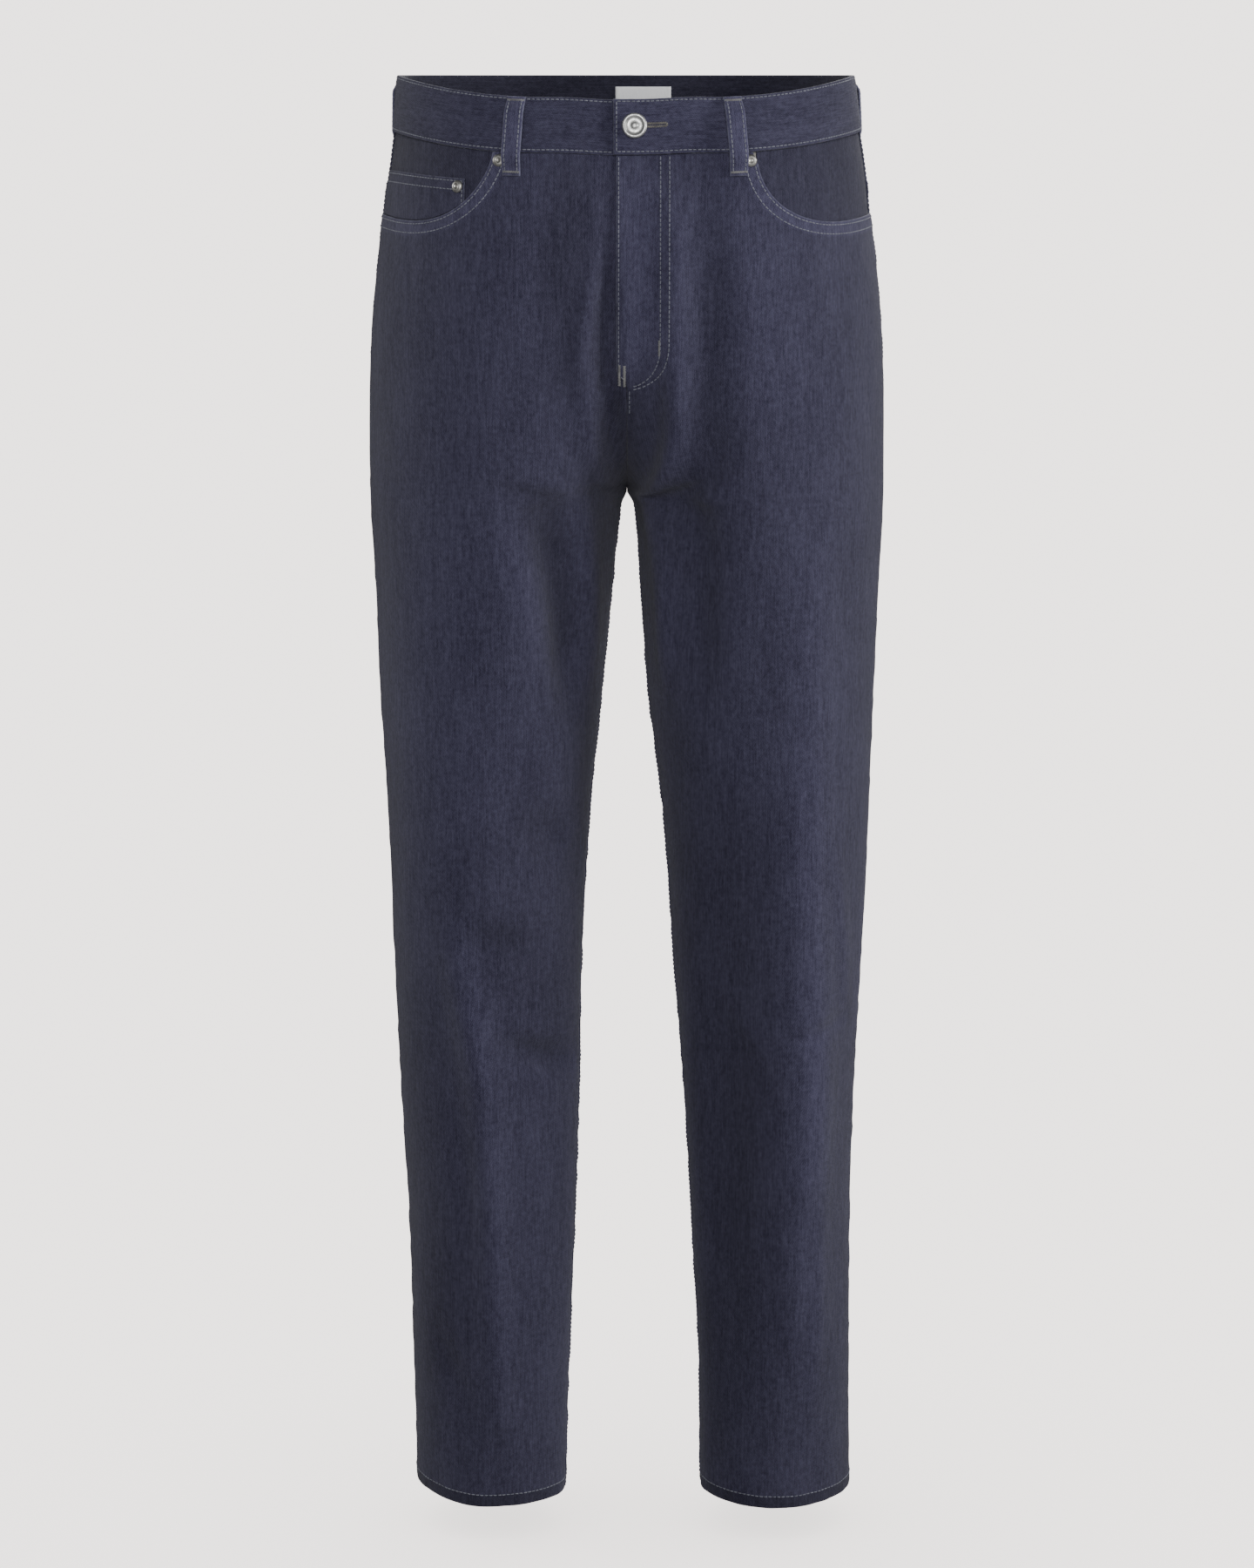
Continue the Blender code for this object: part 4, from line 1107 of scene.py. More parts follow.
def shell(
    name: str,
    outer: Array,
    inner: Array,
    place: Pair,
    materials: Sequence[Material],
    edge: Values = 0.0,
    fade: Values = 0.0,
    closed: bool = False,
) -> Object:
    """A thin closed wall between two grids of points.

    Args:
        name: The piece's name.
        outer: Points of the face that is seen, by row and column.
        inner: Points of the other face.
        place: Where each point lies on the cut cloth, across and along.
        materials: The finish of the outer face, and perhaps another for the inner one.
        edge: How near each point is to a worn edge, from 0 to 1.
        fade: How much paler it is there, as a share, from wear and painted light and shade, for both faces or
            for each in turn.
        closed: Whether the last column joins the first.

    Returns:
        The object.
    """
    rows, columns = outer.shape[:2]
    count = rows * columns
    skin = grid_faces(rows, columns, closed)
    under = skin[:, ::-1] + count
    j = np.arange(columns if closed else columns - 1)
    following = (j + 1) % columns
    last = (rows - 1) * columns
    ends = [(following, j), (last + j, last + following)]
    if not closed:
        i = np.arange(rows - 1) * columns
        ends += [(i, i + columns), (i + 2 * columns - 1, i + columns - 1)]
    rim = np.concatenate([np.stack([b, b + count, a + count, a], -1) for a, b in ends])
    faces = np.concatenate([skin, under, rim])
    points = np.concatenate([outer.reshape(-1, 3), inner.reshape(-1, 3)])
    middle = skin[len(skin) // 2]
    facing = np.cross(points[middle[1]] - points[middle[0]], points[middle[3]] - points[middle[0]])
    if facing @ (points[middle[0]] - points[middle[0] + count]) < 0:
        faces = faces[:, ::-1]
    made = new_object(name, points.tolist(), faces.tolist(), *materials)
    mesh = made.data
    if len(materials) > 1:
        finish = np.repeat(np.array([0, 1, 0], np.int32), [len(skin), len(under), len(rim)])
        mesh.polygons.foreach_set("material_index", finish)
    uv = np.tile(np.stack([np.broadcast_to(p, (rows, columns)).ravel() for p in place], -1), (2, 1))
    corners = np.zeros(len(mesh.loops), np.int32)
    mesh.loops.foreach_get("vertex_index", corners)
    mesh.uv_layers.new(name=PATTERN).data.foreach_set("uv", uv[corners].astype(np.float32).ravel())
    for label, values in ((EDGE, edge), (PAINTED_LIGHT_AND_WEAR, fade)):
        values = np.broadcast_to(values, (2, rows, columns)).astype(np.float32)
        mesh.attributes.new(label, "FLOAT", "POINT").data.foreach_set("value", values.ravel())
    return made


def lathe(profile: Sequence[Span], steps: int) -> tuple[list[tuple[float, ...]], list[list[int]]]:
    """Points and faces of a turned surface, which is closed if its profile comes back to the axis.

    Args:
        profile: Radii and heights, from the top of its axis on.
        steps: Points round it.

    Returns:
        Its points and faces.
    """
    ring = np.linspace(0, math.tau, steps, endpoint=False)
    rings = [(radius, height) for radius, height in profile if radius > 0]
    points = [(0.0, 0.0, profile[0][1])]
    points += [(r * math.cos(a), r * math.sin(a), h) for r, h in rings for a in ring]
    closed = profile[-1][0] == 0
    if closed:
        points.append((0.0, 0.0, profile[-1][1]))
    faces: list[list[int]] = []
    for j in range(steps):
        k = (j + 1) % steps
        faces.append([0, 1 + j, 1 + k])
        for a in range(1, (len(rings) - 1) * steps, steps):
            faces.append([a + j, a + steps + j, a + steps + k, a + k])
        if closed:
            end = 1 + (len(rings) - 1) * steps
            faces.append([len(points) - 1, end + k, end + j])
    return points, faces


@dataclass(frozen=True)
class Stitch:
    """The size of one kind of stitch."""

    pitch: float = 0.0033
    length: float = 0.0028
    width: float = 0.00086
    rise: float = 0.00042
    sides: int = 5


TOPSTITCH = Stitch()
TACK = Stitch(pitch=0.00048, length=0.0022, width=0.00050, rise=0.00034)


def lengths(points: Array) -> Array:
    """Length of a line up to each of its points."""
    return np.concatenate([[0], np.cumsum(np.linalg.norm(np.diff(points, axis=0), axis=1))])


def read_line(places: Array, along: Array, table: Array) -> Array:
    """Reads a table's rows at distances along a line."""
    return np.stack([np.interp(places, along, column) for column in table.T], 1)


class Sewing:
    """Collects the stitches of one thread and makes one mesh of them."""

    RINGS = ((0.0, 0.35, -0.55), (0.16, 0.92, 0.45), (0.5, 1.0, 0.75), (0.84, 0.92, 0.45), (1.0, 0.35, -0.55))
    FINE = 0.001  # lines are followed in steps of this length

    def __init__(self, form: Form, seed: int) -> None:
        """Starts an empty lot.

        Args:
            form: The form that the cloth lies on.
            seed: Which small differences its stitches have.
        """
        self.form = form
        self.random = np.random.default_rng(seed)
        self.parts: list[Array] = []

    def add(self, starts: Array, ends: Array, middles: Array, normals: Array, stitch: Stitch) -> None:
        """Adds stitches that go from point to point over a middle.

        Args:
            starts: Where each goes in.
            ends: Where each comes out.
            middles: A point of the cloth under the middle of each.
            normals: The cloth's normals there.
            stitch: Their size.
        """
        way = unit(ends - starts)
        beside = unit(np.cross(way, normals))
        up = np.cross(beside, way)
        angles = np.linspace(0, math.tau, stitch.sides, endpoint=False) + math.pi / 2
        rings = []
        for t, size, lift in self.RINGS:
            centre = starts * (1 - t) + ends * t + (middles - (starts + ends) / 2) * (4 * t * (1 - t))
            centre = centre + up * (stitch.rise * lift * 0.6)
            width, rise = size * stitch.width / 2, size * stitch.rise * 0.75
            ring = [centre + beside * (math.cos(a) * width) + up * (math.sin(a) * rise) for a in angles]
            rings.append(np.stack(ring, 1))
        self.parts.append(np.stack(rings, 1))

    def row(self, half: Half, distance: Values, level: Values, out: Values = 0.0) -> None:
        """Topstitches along a line.

        Args:
            half: Half of a leg.
            distance: Distances of its points from the inner seam.
            level: Their levels.
            out: How far out the cloth's face lies there.
        """
        points, normals = self.line(half, distance, level, out)
        along = lengths(points)
        count = max(1, int(round(along[-1] / TOPSTITCH.pitch)))
        pitch = along[-1] / count
        middle = (np.arange(count) + 0.5) * pitch + self.random.normal(0, 0.00009, count)
        reach = TOPSTITCH.length / 2 * pitch / TOPSTITCH.pitch * (1 + self.random.normal(0, 0.03, count))
        starts, ends = read_line(middle - reach, along, points), read_line(middle + reach, along, points)
        normal = read_line(middle, along, normals)
        lean = self.random.normal(0, 0.00005, (count, 1)) * unit(np.cross(ends - starts, normal))
        self.add(starts + lean, ends - lean, read_line(middle, along, points), normal, TOPSTITCH)

    def bar(self, half: Half, distance: Values, level: Values, out: Values, length: float) -> None:
        """Sews a bar of close threads that cross a line, such as a bartack.

        Args:
            half: Half of a leg.
            distance: Distances of its points from the inner seam.
            level: Their levels.
            out: How far out the cloth's face lies there.
            length: Length of the threads.
        """
        points, normals = self.line(half, distance, level, out)
        along = lengths(points)
        count = max(2, int(round(along[-1] / TACK.pitch)))
        middle = (np.arange(count) + 0.5) * along[-1] / count
        centre, before, after = (read_line(middle + shift, along, points) for shift in (0, -5e-4, 5e-4))
        normal = read_line(middle, along, normals)
        half_length = length / 2 * (1 + self.random.normal(0, 0.06, (count, 1)))
        cross = unit(np.cross(normal, after - before)) * half_length
        slant = (after - before) * 0.25 * (np.arange(count) % 2 * 2 - 1)[:, None]
        centre = centre + normal * 0.00022
        self.add(centre - cross - slant, centre + cross + slant, centre, normal, TACK)

    def line(self, half: Half, distance: Values, level: Values, out: Values) -> Pair:
        """Close points and normals along a line on the cloth.

        Args:
            half: Half of a leg.
            distance: Distances of its points from the inner seam.
            level: Their levels.
            out: How far out the cloth's face lies there.

        Returns:
            Points and normals.
        """
        table = np.stack(together(distance, level, out), 1)
        along = lengths(table[:, :2])
        fine = np.linspace(0, along[-1], max(4, int(along[-1] / self.FINE)))
        return self.form.spots(half, *read_line(fine, along, table).T)

    def build(self, name: str, material: Material) -> Object:
        """Makes the mesh.

        Args:
            name: The piece's name.
            material: The thread's finish.

        Returns:
            The object.
        """
        faces: list[list[int]] = []
        base = 0
        for part in self.parts:
            count, rings, sides = part.shape[:3]
            quads = grid_faces(rings, sides, True)[:, ::-1]
            caps = [list(range(sides)), [(rings - 1) * sides + k for k in range(sides)][::-1]]
            for _ in range(count):
                faces += (quads + base).tolist() + [[k + base for k in cap] for cap in caps]
                base += rings * sides
        points = np.concatenate([part.reshape(-1, 3) for part in self.parts])
        return new_object(name, points.tolist(), faces, material)


# ---------- the garment ----------


class Tailor:
    """What every sub-assembly needs: the form, the finishes, the threads and a note of what has been made."""

    def __init__(self) -> None:
        """Makes the form and the finishes, and threads the needles."""
        self.form = Form(Relief())
        self.finishes = Wardrobe()
        self.topstitch, self.tacks = Sewing(self.form, 11), Sewing(self.form, 12)
        self.hole, self.back_stitch = Sewing(self.form, 13), Sewing(self.form, 14)
        self.made: list[str] = []

    def settle(self, piece: Object, slot: str, *nodes: str) -> None:
        """Fixes a piece to the garment's body, hides the solids it stands for and notes its name.

        Args:
            piece: The piece.
            slot: Not used.
            nodes: The solids that it stands for.
        """
        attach(piece, BODY)
        if nodes:
            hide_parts(*nodes)
        self.made.append(piece.name)
        log.info("%s: %d faces", piece.name, len(piece.data.polygons))

    def hang(self, piece: Object, slot: str, nodes: Sequence[str], cut: Cut, hangs_from: str | None) -> None:
        """Args:
            piece: The piece.
            slot: The material slot, which is passed on and not used.
            nodes: The solids that it stands for.
            cut: Its cut size, which is not used.
            hangs_from: The piece that carries it, if another one does; not used.
        """
        self.settle(piece, slot, *nodes)

    def lay(
        self,
        node: str,
        half: Half,
        spots: Pair,
        skins: tuple[Values, Values],
        place: Pair | float,
        cut: Cut,
        near: Values = 0.0,
        fade: Values = 0.0,
        slot: str = "denim",
        hangs_from: str = "waistband_cloth",
        stretches: Sequence[str] = (),
        lined: bool = False,
    ) -> None:
        """Lays a piece of cloth on the form.

        Args:
            node: The solid that it stands for.
            half: The half of a leg that it lies on.
            spots: Distances from the inner seam and levels of its points, by row and column.
            skins: How far out its outer and inner face lie.
            place: Where its points lie on the cut cloth, or how far from other pieces it lies on the roll.
            cut: Its cut size.
            near: How near each point is to a worn edge.
            fade: How much paler it is, as a share, from wear and painted light and shade.
            slot: The material slot, which picks its finish.
            hangs_from: The piece that carries it.
            stretches: The parts of its node's name, if it stands for several solids.
            lined: Whether its inner face is the denim's wrong side.
        """
        outer, inner = (self.form.spots(half, *spots, out)[0] for out in skins)
        if isinstance(place, float):
            place = self.form.pattern(half, *spots, place)
        finishes = [self.finishes.cloth[slot]] + [self.finishes.wrong_side] * lined
        piece = shell(f"{node}_cloth", outer, inner, place, finishes, near, fade)
        nodes = [f"{node}_{stretch}" for stretch in stretches] or [node]
        self.hang(piece, slot, nodes, cut, hangs_from)

    def fasten(
        self,
        name: str,
        node: str,
        half: Half,
        spot: tuple[float, float, float],
        profile: Sequence[Span],
        radius: float,
        steps: int,
        slot: str,
    ) -> None:
        """Sets a turned fitting on the cloth.

        Args:
            name: The piece's name.
            node: The solid that it stands for.
            half: The half of a leg that it is on.
            spot: Distance from the inner seam, level and how far out its foot lies.
            profile: Shares of its radius, and heights, from the top of its axis to the bottom.
            radius: Its radius.
            steps: Points round it.
            slot: The material slot, which picks its finish.
        """
        points, faces = lathe([(share * radius, height) for share, height in profile], steps)
        finish = self.finishes.nickel if slot == "nickel" else self.finishes.antique
        piece = new_object(name, points, faces, finish)
        piece.data.set_sharp_from_angle(angle=math.radians(50))
        foot, axis = self.form.spots(half, *spot)
        turn = Vector(axis).to_track_quat("Z", "Y").to_matrix().to_4x4()
        piece.data.transform(Matrix.Translation(Vector(foot)) @ turn)
        self.settle(piece, slot, node)


STRETCHES = ("hip", "thigh", "calf")  # the solids of one front or back, from the top down
SEAM_COLUMNS = (0.0, 0.0003, 0.0008, 0.0018, 0.0035, 0.0058, 0.0082, 0.0105)
EDGE_ROWS = (0.0, 0.00012, 0.0003, 0.0006, 0.0012, 0.0022, 0.0040, 0.0065, 0.0095, 0.0120)
HEM_ROWS = (0.0120, 0.0098, 0.0078, 0.0058, 0.0040, 0.0024, 0.0012, 0.0006, 0.0003, 0.00012, 0.0)
ROW_STEP = 0.0040
EDGE_RADIUS = 0.0007  # cloth turns over within this distance of a finished edge
EDGE_FALL = 0.00058
SEAM_RADIUS = 0.0013
SEAM_FALL = 0.00055
EDGE_WEAR = 0.0014
HEM_ROW, HEM_ROW_START = 0.0092, 0.0006


def leg_rows() -> Array:
    """Levels of the rows below the crotch, the same on front and back so that their seams meet."""
    steps = int((CROTCH - HEM) / ROW_STEP)
    return np.concatenate([np.linspace(CROTCH, HEM + HEM_ROWS[0], steps + 1)[1:-1], HEM + np.array(HEM_ROWS)])


def wear(away: Array) -> Array:
    """How worn a place is, from its distance to a finished edge."""
    return np.exp(-np.maximum(away, 0) / EDGE_WEAR)


def seam_fall(*away: Array) -> Array:
    """Fall of the cloth towards its seams, from the distances to them."""
    return rounding(nearest(*away), SEAM_RADIUS, SEAM_FALL)


def edge_fall(*away: Array, depth: float = EDGE_FALL) -> Array:
    """Fall of the cloth towards its finished edges, from the distances to them."""
    return rounding(nearest(*away), EDGE_RADIUS, depth)


@dataclass
class Front:
    """One front with its pocket's pieces and their sewing."""

    tailor: Tailor
    side: Side
    cut: Cut = Cut(0.262, 1.015, 0.186)
    facing_cut: Cut = Cut(0.135, 0.075, 0.0072)
    bag_cut: Cut = Cut(0.20, 0.28, 0.048)
    even_columns: int = 24
    scoop_columns: int = 34
    coin_columns: int = 15
    ply_rise: float = 0.00032  # plies under the fly and the pocket's edge raise the cloth
    scoop_rows: Span = (0.0024, 0.0088)
    # the band between the pocket edge's rows is paler
    margin_fade: float = 0.35
    # painted shade on the facing, as under the pocket's edge
    facing_fade: float = -0.25

    def __post_init__(self) -> None:
        """Names its half of the leg."""
        self.half = (self.side, F)

    @cached_property
    def shares(self) -> Array:
        """For each column above the thigh, its share of the way across."""
        width = self.tailor.form.width(self.half, WAIST_SEAM)
        start = self.tailor.form.distance_at_x(self.half, SCOOP_START[self.side], WAIST_SEAM)
        near = np.array(SEAM_COLUMNS)
        even = np.linspace(near[-1], start, self.even_columns + 1)[1:]
        last = width - near[-1]
        coin = math.sqrt((COIN_INNER_X - SCOOP_START[self.side]) / (last - start))
        beside = np.linspace(0, coin, self.coin_columns + 1)[1:]
        beyond = np.linspace(coin, 1, self.scoop_columns - self.coin_columns + 1)[1:]
        scoop = start + (last - start) * np.concatenate([beside, beyond]) ** 2
        return np.concatenate([near, even, scoop, width - near[::-1][1:]]) / width

    @property
    def scoop_column(self) -> int:
        """The column where the pocket's edge leaves the waistband."""
        return len(SEAM_COLUMNS) + self.even_columns - 1

    @property
    def count(self) -> int:
        """How many columns there are."""
        return len(self.shares)

    def distance(self, column: Array, level: Array) -> Array:
        """Distance of the columns from the centre line.

        Args:
            column: Numbers of the columns.
            level: Level of each place.

        Returns:
            Distances from the inner seam.
        """
        column, level = np.broadcast_arrays(column, level)
        width, near = self.tailor.form.width(self.half, level), np.array(SEAM_COLUMNS)
        seam, last = len(near), self.count - len(near)
        inner = near[np.minimum(column, seam - 1)]
        outer = width - near[::-1][np.clip(column - last, 0, seam - 1)]
        share = np.clip((column - seam + 1) / (last - seam + 1), 0, 1)
        at_seams = [column < seam, column >= last]
        top = np.select(at_seams, [inner, outer], self.shares[column] * width)
        even = np.select(at_seams, [inner, outer], near[-1] + share * (width - 2 * near[-1]))
        return top + smoothstep(UPPER_END, EVEN_START, level) * (even - top)

    def scoop_level(self, x: Array) -> Array:
        """Reads the curve of the pocket's edge.

        Args:
            x: Distances from the middle of the garment.

        Returns:
            Levels.
        """
        start = SCOOP_START[self.side]
        over = np.clip((x - start) / (SCOOP_SIDE - start), 0, 1)
        return WAIST_SEAM - SCOOP_DEPTH * (1 - (1 - over) ** SCOOP_ROUND) ** SCOOP_CORNER[self.side]

    @cached_property
    def edge(self) -> Array:
        """Level of the pocket's edge, or of the waistband's seam, on each column."""
        level = np.full(self.count, WAIST_SEAM)
        for _ in range(40):
            share = self.distance(np.arange(self.count), level) / self.tailor.form.width(self.half, level)
            points = self.tailor.form.halves[self.half].points
            x = np.abs(self.tailor.form.between(points, share, level)[..., 0])
            level = 0.5 * level + 0.5 * self.scoop_level(x)
        return level

    @cached_property
    def scoop_line(self) -> Pair:
        """Distances and levels of the pocket's edge, from the waistband to the outseam."""
        columns = np.arange(self.scoop_column, self.count)
        return self.distance(columns, self.edge[columns]), self.edge[columns]

    def offset_scoop(self, away: float) -> Pair:
        """Distances and levels of a line on the front that runs beside the pocket's edge.

        Args:
            away: How far from the edge it runs.

        Returns:
            Distances and levels.
        """
        distance, level = self.scoop_line
        run, fall = np.gradient(distance), np.gradient(level)
        size = np.hypot(run, fall)
        beside, below = distance + fall / size * away, level - run / size * away
        keep = (below < WAIST_SEAM - 0.0012) & (beside < self.tailor.form.width(self.half, below) - 0.0004)
        return beside[keep], below[keep]

    def from_scoop(self, distance: Array, level: Array) -> Array:
        """How far places lie from the pocket's edge.

        Args:
            distance: Distances from the centre line.
            level: Level of each place.

        Returns:
            Distances in metres.
        """
        line = np.stack(self.scoop_line, -1)
        start, run = line[:-1], np.diff(line, axis=0)
        place = np.stack([distance, level], -1).reshape(-1, 1, 2) - start[None]
        t = np.clip((place * run).sum(-1) / (run * run).sum(-1), 0, 1)
        away = np.linalg.norm(place - t[..., None] * run, axis=-1).min(1)
        return away.reshape(distance.shape)

    def grid(self) -> Pair:
        """The panel's points, from its top edge to the hem.

        Returns:
            Distances from the inner seam, and levels.
        """
        upper_end = UPPER_END - 0.004
        below = self.edge - np.array(EDGE_ROWS)[:, None]
        upper = below[-1] + np.linspace(0, 1, 20)[1:, None] * (upper_end - below[-1])
        thigh = np.linspace(upper_end, CROTCH, int((UPPER_END - CROTCH) / ROW_STEP) + 1)[1:]
        lower = np.concatenate([thigh, leg_rows()])[:, None] + 0 * self.edge
        level = np.concatenate([below, upper, lower])
        distance = self.distance(np.arange(self.count), level)
        if self.side is L:
            distance = distance - FLY_LAP * self.at_fly(level) * np.clip(1 - distance / 0.02, 0, 1)
        return distance, level

    @staticmethod
    def at_fly(level: Array) -> Array:
        """1 where the fly's edge laps over, falling to 0 at its end."""
        return smoothstep(FLY_SEAM, FLY_LAP_END, level)

    def ride(self, distance: Values, level: Values) -> Array:
        """How far the front's face lies off the form: plies under it raise it, and one lap of the fly sinks.

        Args:
            distance: Distances from the centre line.
            level: Level of each place.

        Returns:
            Heights in metres.
        """
        distance, level = together(distance, level)
        rise = self.ply_rise * smoothstep(0.0135, 0.0105, self.from_scoop(distance, level))
        if self.side is L:
            at_fly = smoothstep(FLY_LAP_END - 0.012, FLY_LAP_END + 0.004, level)
            return rise + self.ply_rise * at_fly * smoothstep(0.0335, 0.0305, distance)
        beside = 1 - smoothstep(FLY_DIP_START, FLY_DIP_END, distance)
        return rise - PLY * beside * smoothstep(FLY_SMOOTH, FLY_SEAM, level)

    def panel(self) -> None:
        """The front itself, from the pocket's edge to the hem."""
        distance, level = self.grid()
        width = self.tailor.form.width(self.half, level)
        fly = self.at_fly(level) * (self.side is L)
        from_inner, from_outer, from_hem = distance + FLY_LAP * fly, width - distance, level - HEM
        scoop = self.from_scoop(distance, level)
        side_fall = fly * edge_fall(from_inner) + (1 - fly) * seam_fall(from_inner, from_outer)
        fall = reduce(np.maximum, (edge_fall(scoop, from_hem), side_fall, seam_fall(self.edge - level)))
        lift = self.ride(distance, level)
        inner_wear = np.maximum(fly, 0.5 * (1 - fly)) * wear(from_inner)
        near = reduce(np.maximum, (wear(nearest(scoop, from_hem)), inner_wear, 0.55 * wear(from_outer)))
        # Wear and painted light and shade from the form, and the paler band between the pocket edge's rows.
        fade = self.tailor.form.relief.fade(self.half, distance / width, level)
        self.tailor.lay(
            f"front_{self.side.word}",
            self.half,
            (distance, level),
            (lift - fall, lift * (self.side is R) - WALL + 0.6 * fall),
            0.3 * self.side.value,
            self.cut,
            near,
            fade + self.margin_fade * smoothstep(0.0108, 0.0098, scoop),
            stretches=STRETCHES,
            lined=True,
        )

    def facing(self) -> None:
        """The hip piece that shows inside the pocket's edge."""
        columns = np.arange(self.scoop_column, self.count)
        fall = self.edge[columns] - FACING_UNDER - WAIST_SEAM
        level = WAIST_SEAM + np.linspace(0, 1, 34)[:, None] * fall
        spots, skins = (self.distance(columns, level), level), (-PLY, -PLY - WALL)
        node = f"pocket_facing_{self.side.word}"
        # The facing is darkened with painted shade.
        self.tailor.lay(node, self.half, spots, skins, 0.9, self.facing_cut, fade=self.facing_fade)

    def bag(self) -> None:
        """The wearer's side of the pocket's bag."""
        columns = np.arange(len(SEAM_COLUMNS) + self.even_columns // 3, self.count, 2)
        level = np.linspace(WAIST_SEAM, BAG_BOTTOM, 60)[:, None]
        spots, skins = (self.distance(columns, level), level), (-2 * PLY, -2 * PLY - BAG_PLY)
        node = f"pocket_bag_{self.side.word}"
        self.tailor.lay(node, self.half, spots, skins, spots, self.bag_cut, slot="pocketing")

    def row(self, distance: Values, level: Values) -> None:
        """Topstitches along a line on the front's face."""
        self.tailor.topstitch.row(self.half, distance, level, self.ride(distance, level))

    def bar(self, distance: float, level: Array, length: float) -> None:
        """Sews a bar on the front's face."""
        self.tailor.tacks.bar(self.half, distance, level, self.ride(distance, level), length)

    def sew(self) -> None:
        """Sews the pocket's edge and the hem."""
        for away in self.scoop_rows:
            self.row(*self.offset_scoop(away))
        end = self.tailor.form.width(self.half, HEM + HEM_ROW) - HEM_ROW_START
        self.row(np.linspace(HEM_ROW_START, end, 60), HEM + HEM_ROW)


@dataclass
class Fly:
    """The sewing of the fly, the zip's tape and the shield behind it."""

    front: Front
    edge_row: float = 0.0017
    j_x: Span = (0.0232, 0.0295)
    j_turn: float = -0.158
    j_end: Span = (0.0040, -0.187)
    j_bar: float = 0.0225
    zip_span: Span = (0.003, 0.027)
    shield_span: Span = (-0.012, 0.036)
    end_bars: Span = (-0.0052, -0.0018)
    end_span: Span = (-0.172, -0.187)

    def strip(self, node: str, span: Span, low: float, slot: str) -> None:
        """A strip behind the fly.

        Args:
            node: The solid that it stands for.
            span: Its edges' distances from the centre line.
            low: How far in its inner face lies.
            slot: The record's material slot.
        """
        level = np.linspace(WAIST_SEAM - GAP / 2, FLY_LAP_END, 60)[:, None]
        distance = np.linspace(*span, 22)
        fall = rounding(nearest(distance - span[0], span[1] - distance), 0.0006, 0.0004)
        skins = (low + WALL - fall, low + fall)
        cut = Cut(span[1] - span[0], WAIST_SEAM - FLY_LAP_END)
        self.front.tailor.lay(node, (L, F), (distance, level), skins, (distance + 0.8, level), cut, slot=slot)

    def strips(self) -> None:
        """The zip's tape, and the shield behind it."""
        self.strip("zip", self.zip_span, -PLY - WALL, "zip_tape")
        self.strip("fly_shield", self.shield_span, -2 * PLY - WALL, "denim")

    def sew(self) -> None:
        """Sews the fly's edge, the hooked rows, the seam below them and the bars that hold the fly's end."""
        level = np.linspace(WAIST_SEAM - 0.001, FLY_LAP_END - 0.004, 80)
        self.front.row(self.edge_row - FLY_LAP * self.front.at_fly(level), level)
        turn = np.linspace(0, math.pi / 2, 24)
        for x in self.j_x:
            drop = self.j_turn - self.j_end[1] + 0.35 * (x - self.j_x[0])
            distance = self.j_end[0] + (x - self.j_end[0]) * np.cos(turn)
            level = self.j_turn - drop * np.sin(turn)
            self.front.row(np.append(x, distance), np.append(WAIST_SEAM - 0.001, level))
        self.front.row(self.edge_row, np.linspace(FLY_SEAM - 0.004, FLY_SEAM - 0.020, 20))
        self.front.bar(self.j_bar, np.linspace(self.j_turn + 0.004, self.j_turn - 0.007, 12), 0.0018)
        for beside in self.end_bars:
            self.front.bar(beside, np.linspace(*self.end_span, 20), 0.0022)


@dataclass
class CoinPocket:
    """The small pocket on the right facing."""

    front: Front
    cut: Cut = Cut(0.112, 0.052, 0.0040)
    top_rows: Span = (0.0020, 0.0080)
    side_row: float = 0.0018
    sink: float = 0.0005
    columns: int = 40
    rows: int = 40

    def top(self, share: Values) -> Array:
        """Level of its opening, from its free side to the outseam."""
        return WAIST_SEAM - COIN_TOP_INNER - share * (COIN_TOP_SIDE - COIN_TOP_INNER)

    @cached_property
    def start(self) -> float:
        """Distance of its free side from the centre line."""
        return self.front.tailor.form.distance_at_x(self.front.half, COIN_INNER_X, self.top(0.0))

    def face(self, level: Array) -> Array:
        """How far out its face lies: it sinks to slip under the front."""
        return -0.0003 - self.sink * smoothstep(-0.058, -0.078, level)

    def distance(self, share: Array, level: Array) -> Array:
        """Distance of a place on it from the centre line."""
        return self.start + share * (self.front.tailor.form.width(self.front.half, level) - self.start)

    def build(self) -> None:
        """The pocket, down to where the front covers it."""
        share = np.concatenate([[0, 0.0015, 0.004, 0.008, 0.016], np.linspace(0.035, 1, self.columns)])
        top = self.top(share)
        bottom = np.full_like(share, -0.083)
        for _ in range(12):
            points, _ = self.front.tailor.form.spots(self.front.half, self.distance(share, bottom), bottom)
            bottom = self.front.scoop_level(np.abs(points[..., 0])) + COIN_CLEAR
        depth = np.concatenate([[0, 0.003, 0.008, 0.018, 0.04], np.linspace(0.07, 1, self.rows)])[:, None]
        level = top + depth * (bottom - top)
        distance = self.distance(share, level)
        away = nearest(top - level, distance - self.start)
        fall = edge_fall(away, depth=0.0004)
        skins = (self.face(level) - fall, -WALL - 0.0001 + 0.3 * fall)
        carrier = "pocket_facing_right_cloth"
        spots = (distance, level)
        half, tailor = self.front.half, self.front.tailor
        tailor.lay("coin_pocket", half, spots, skins, 0.7, self.cut, wear(away), hangs_from=carrier)

    def sew(self) -> None:
        """Sews its opening and its free side."""
        row = self.front.tailor.topstitch.row
        for away in self.top_rows:
            share = np.linspace(0.02, 0.995, 40)
            level = self.top(share) - away
            row(self.front.half, self.distance(share, level), level, self.face(level))
        level = np.linspace(self.top(0.0) - 0.001, -0.0745, 30)
        row(self.front.half, self.start + self.side_row, level, self.face(level))


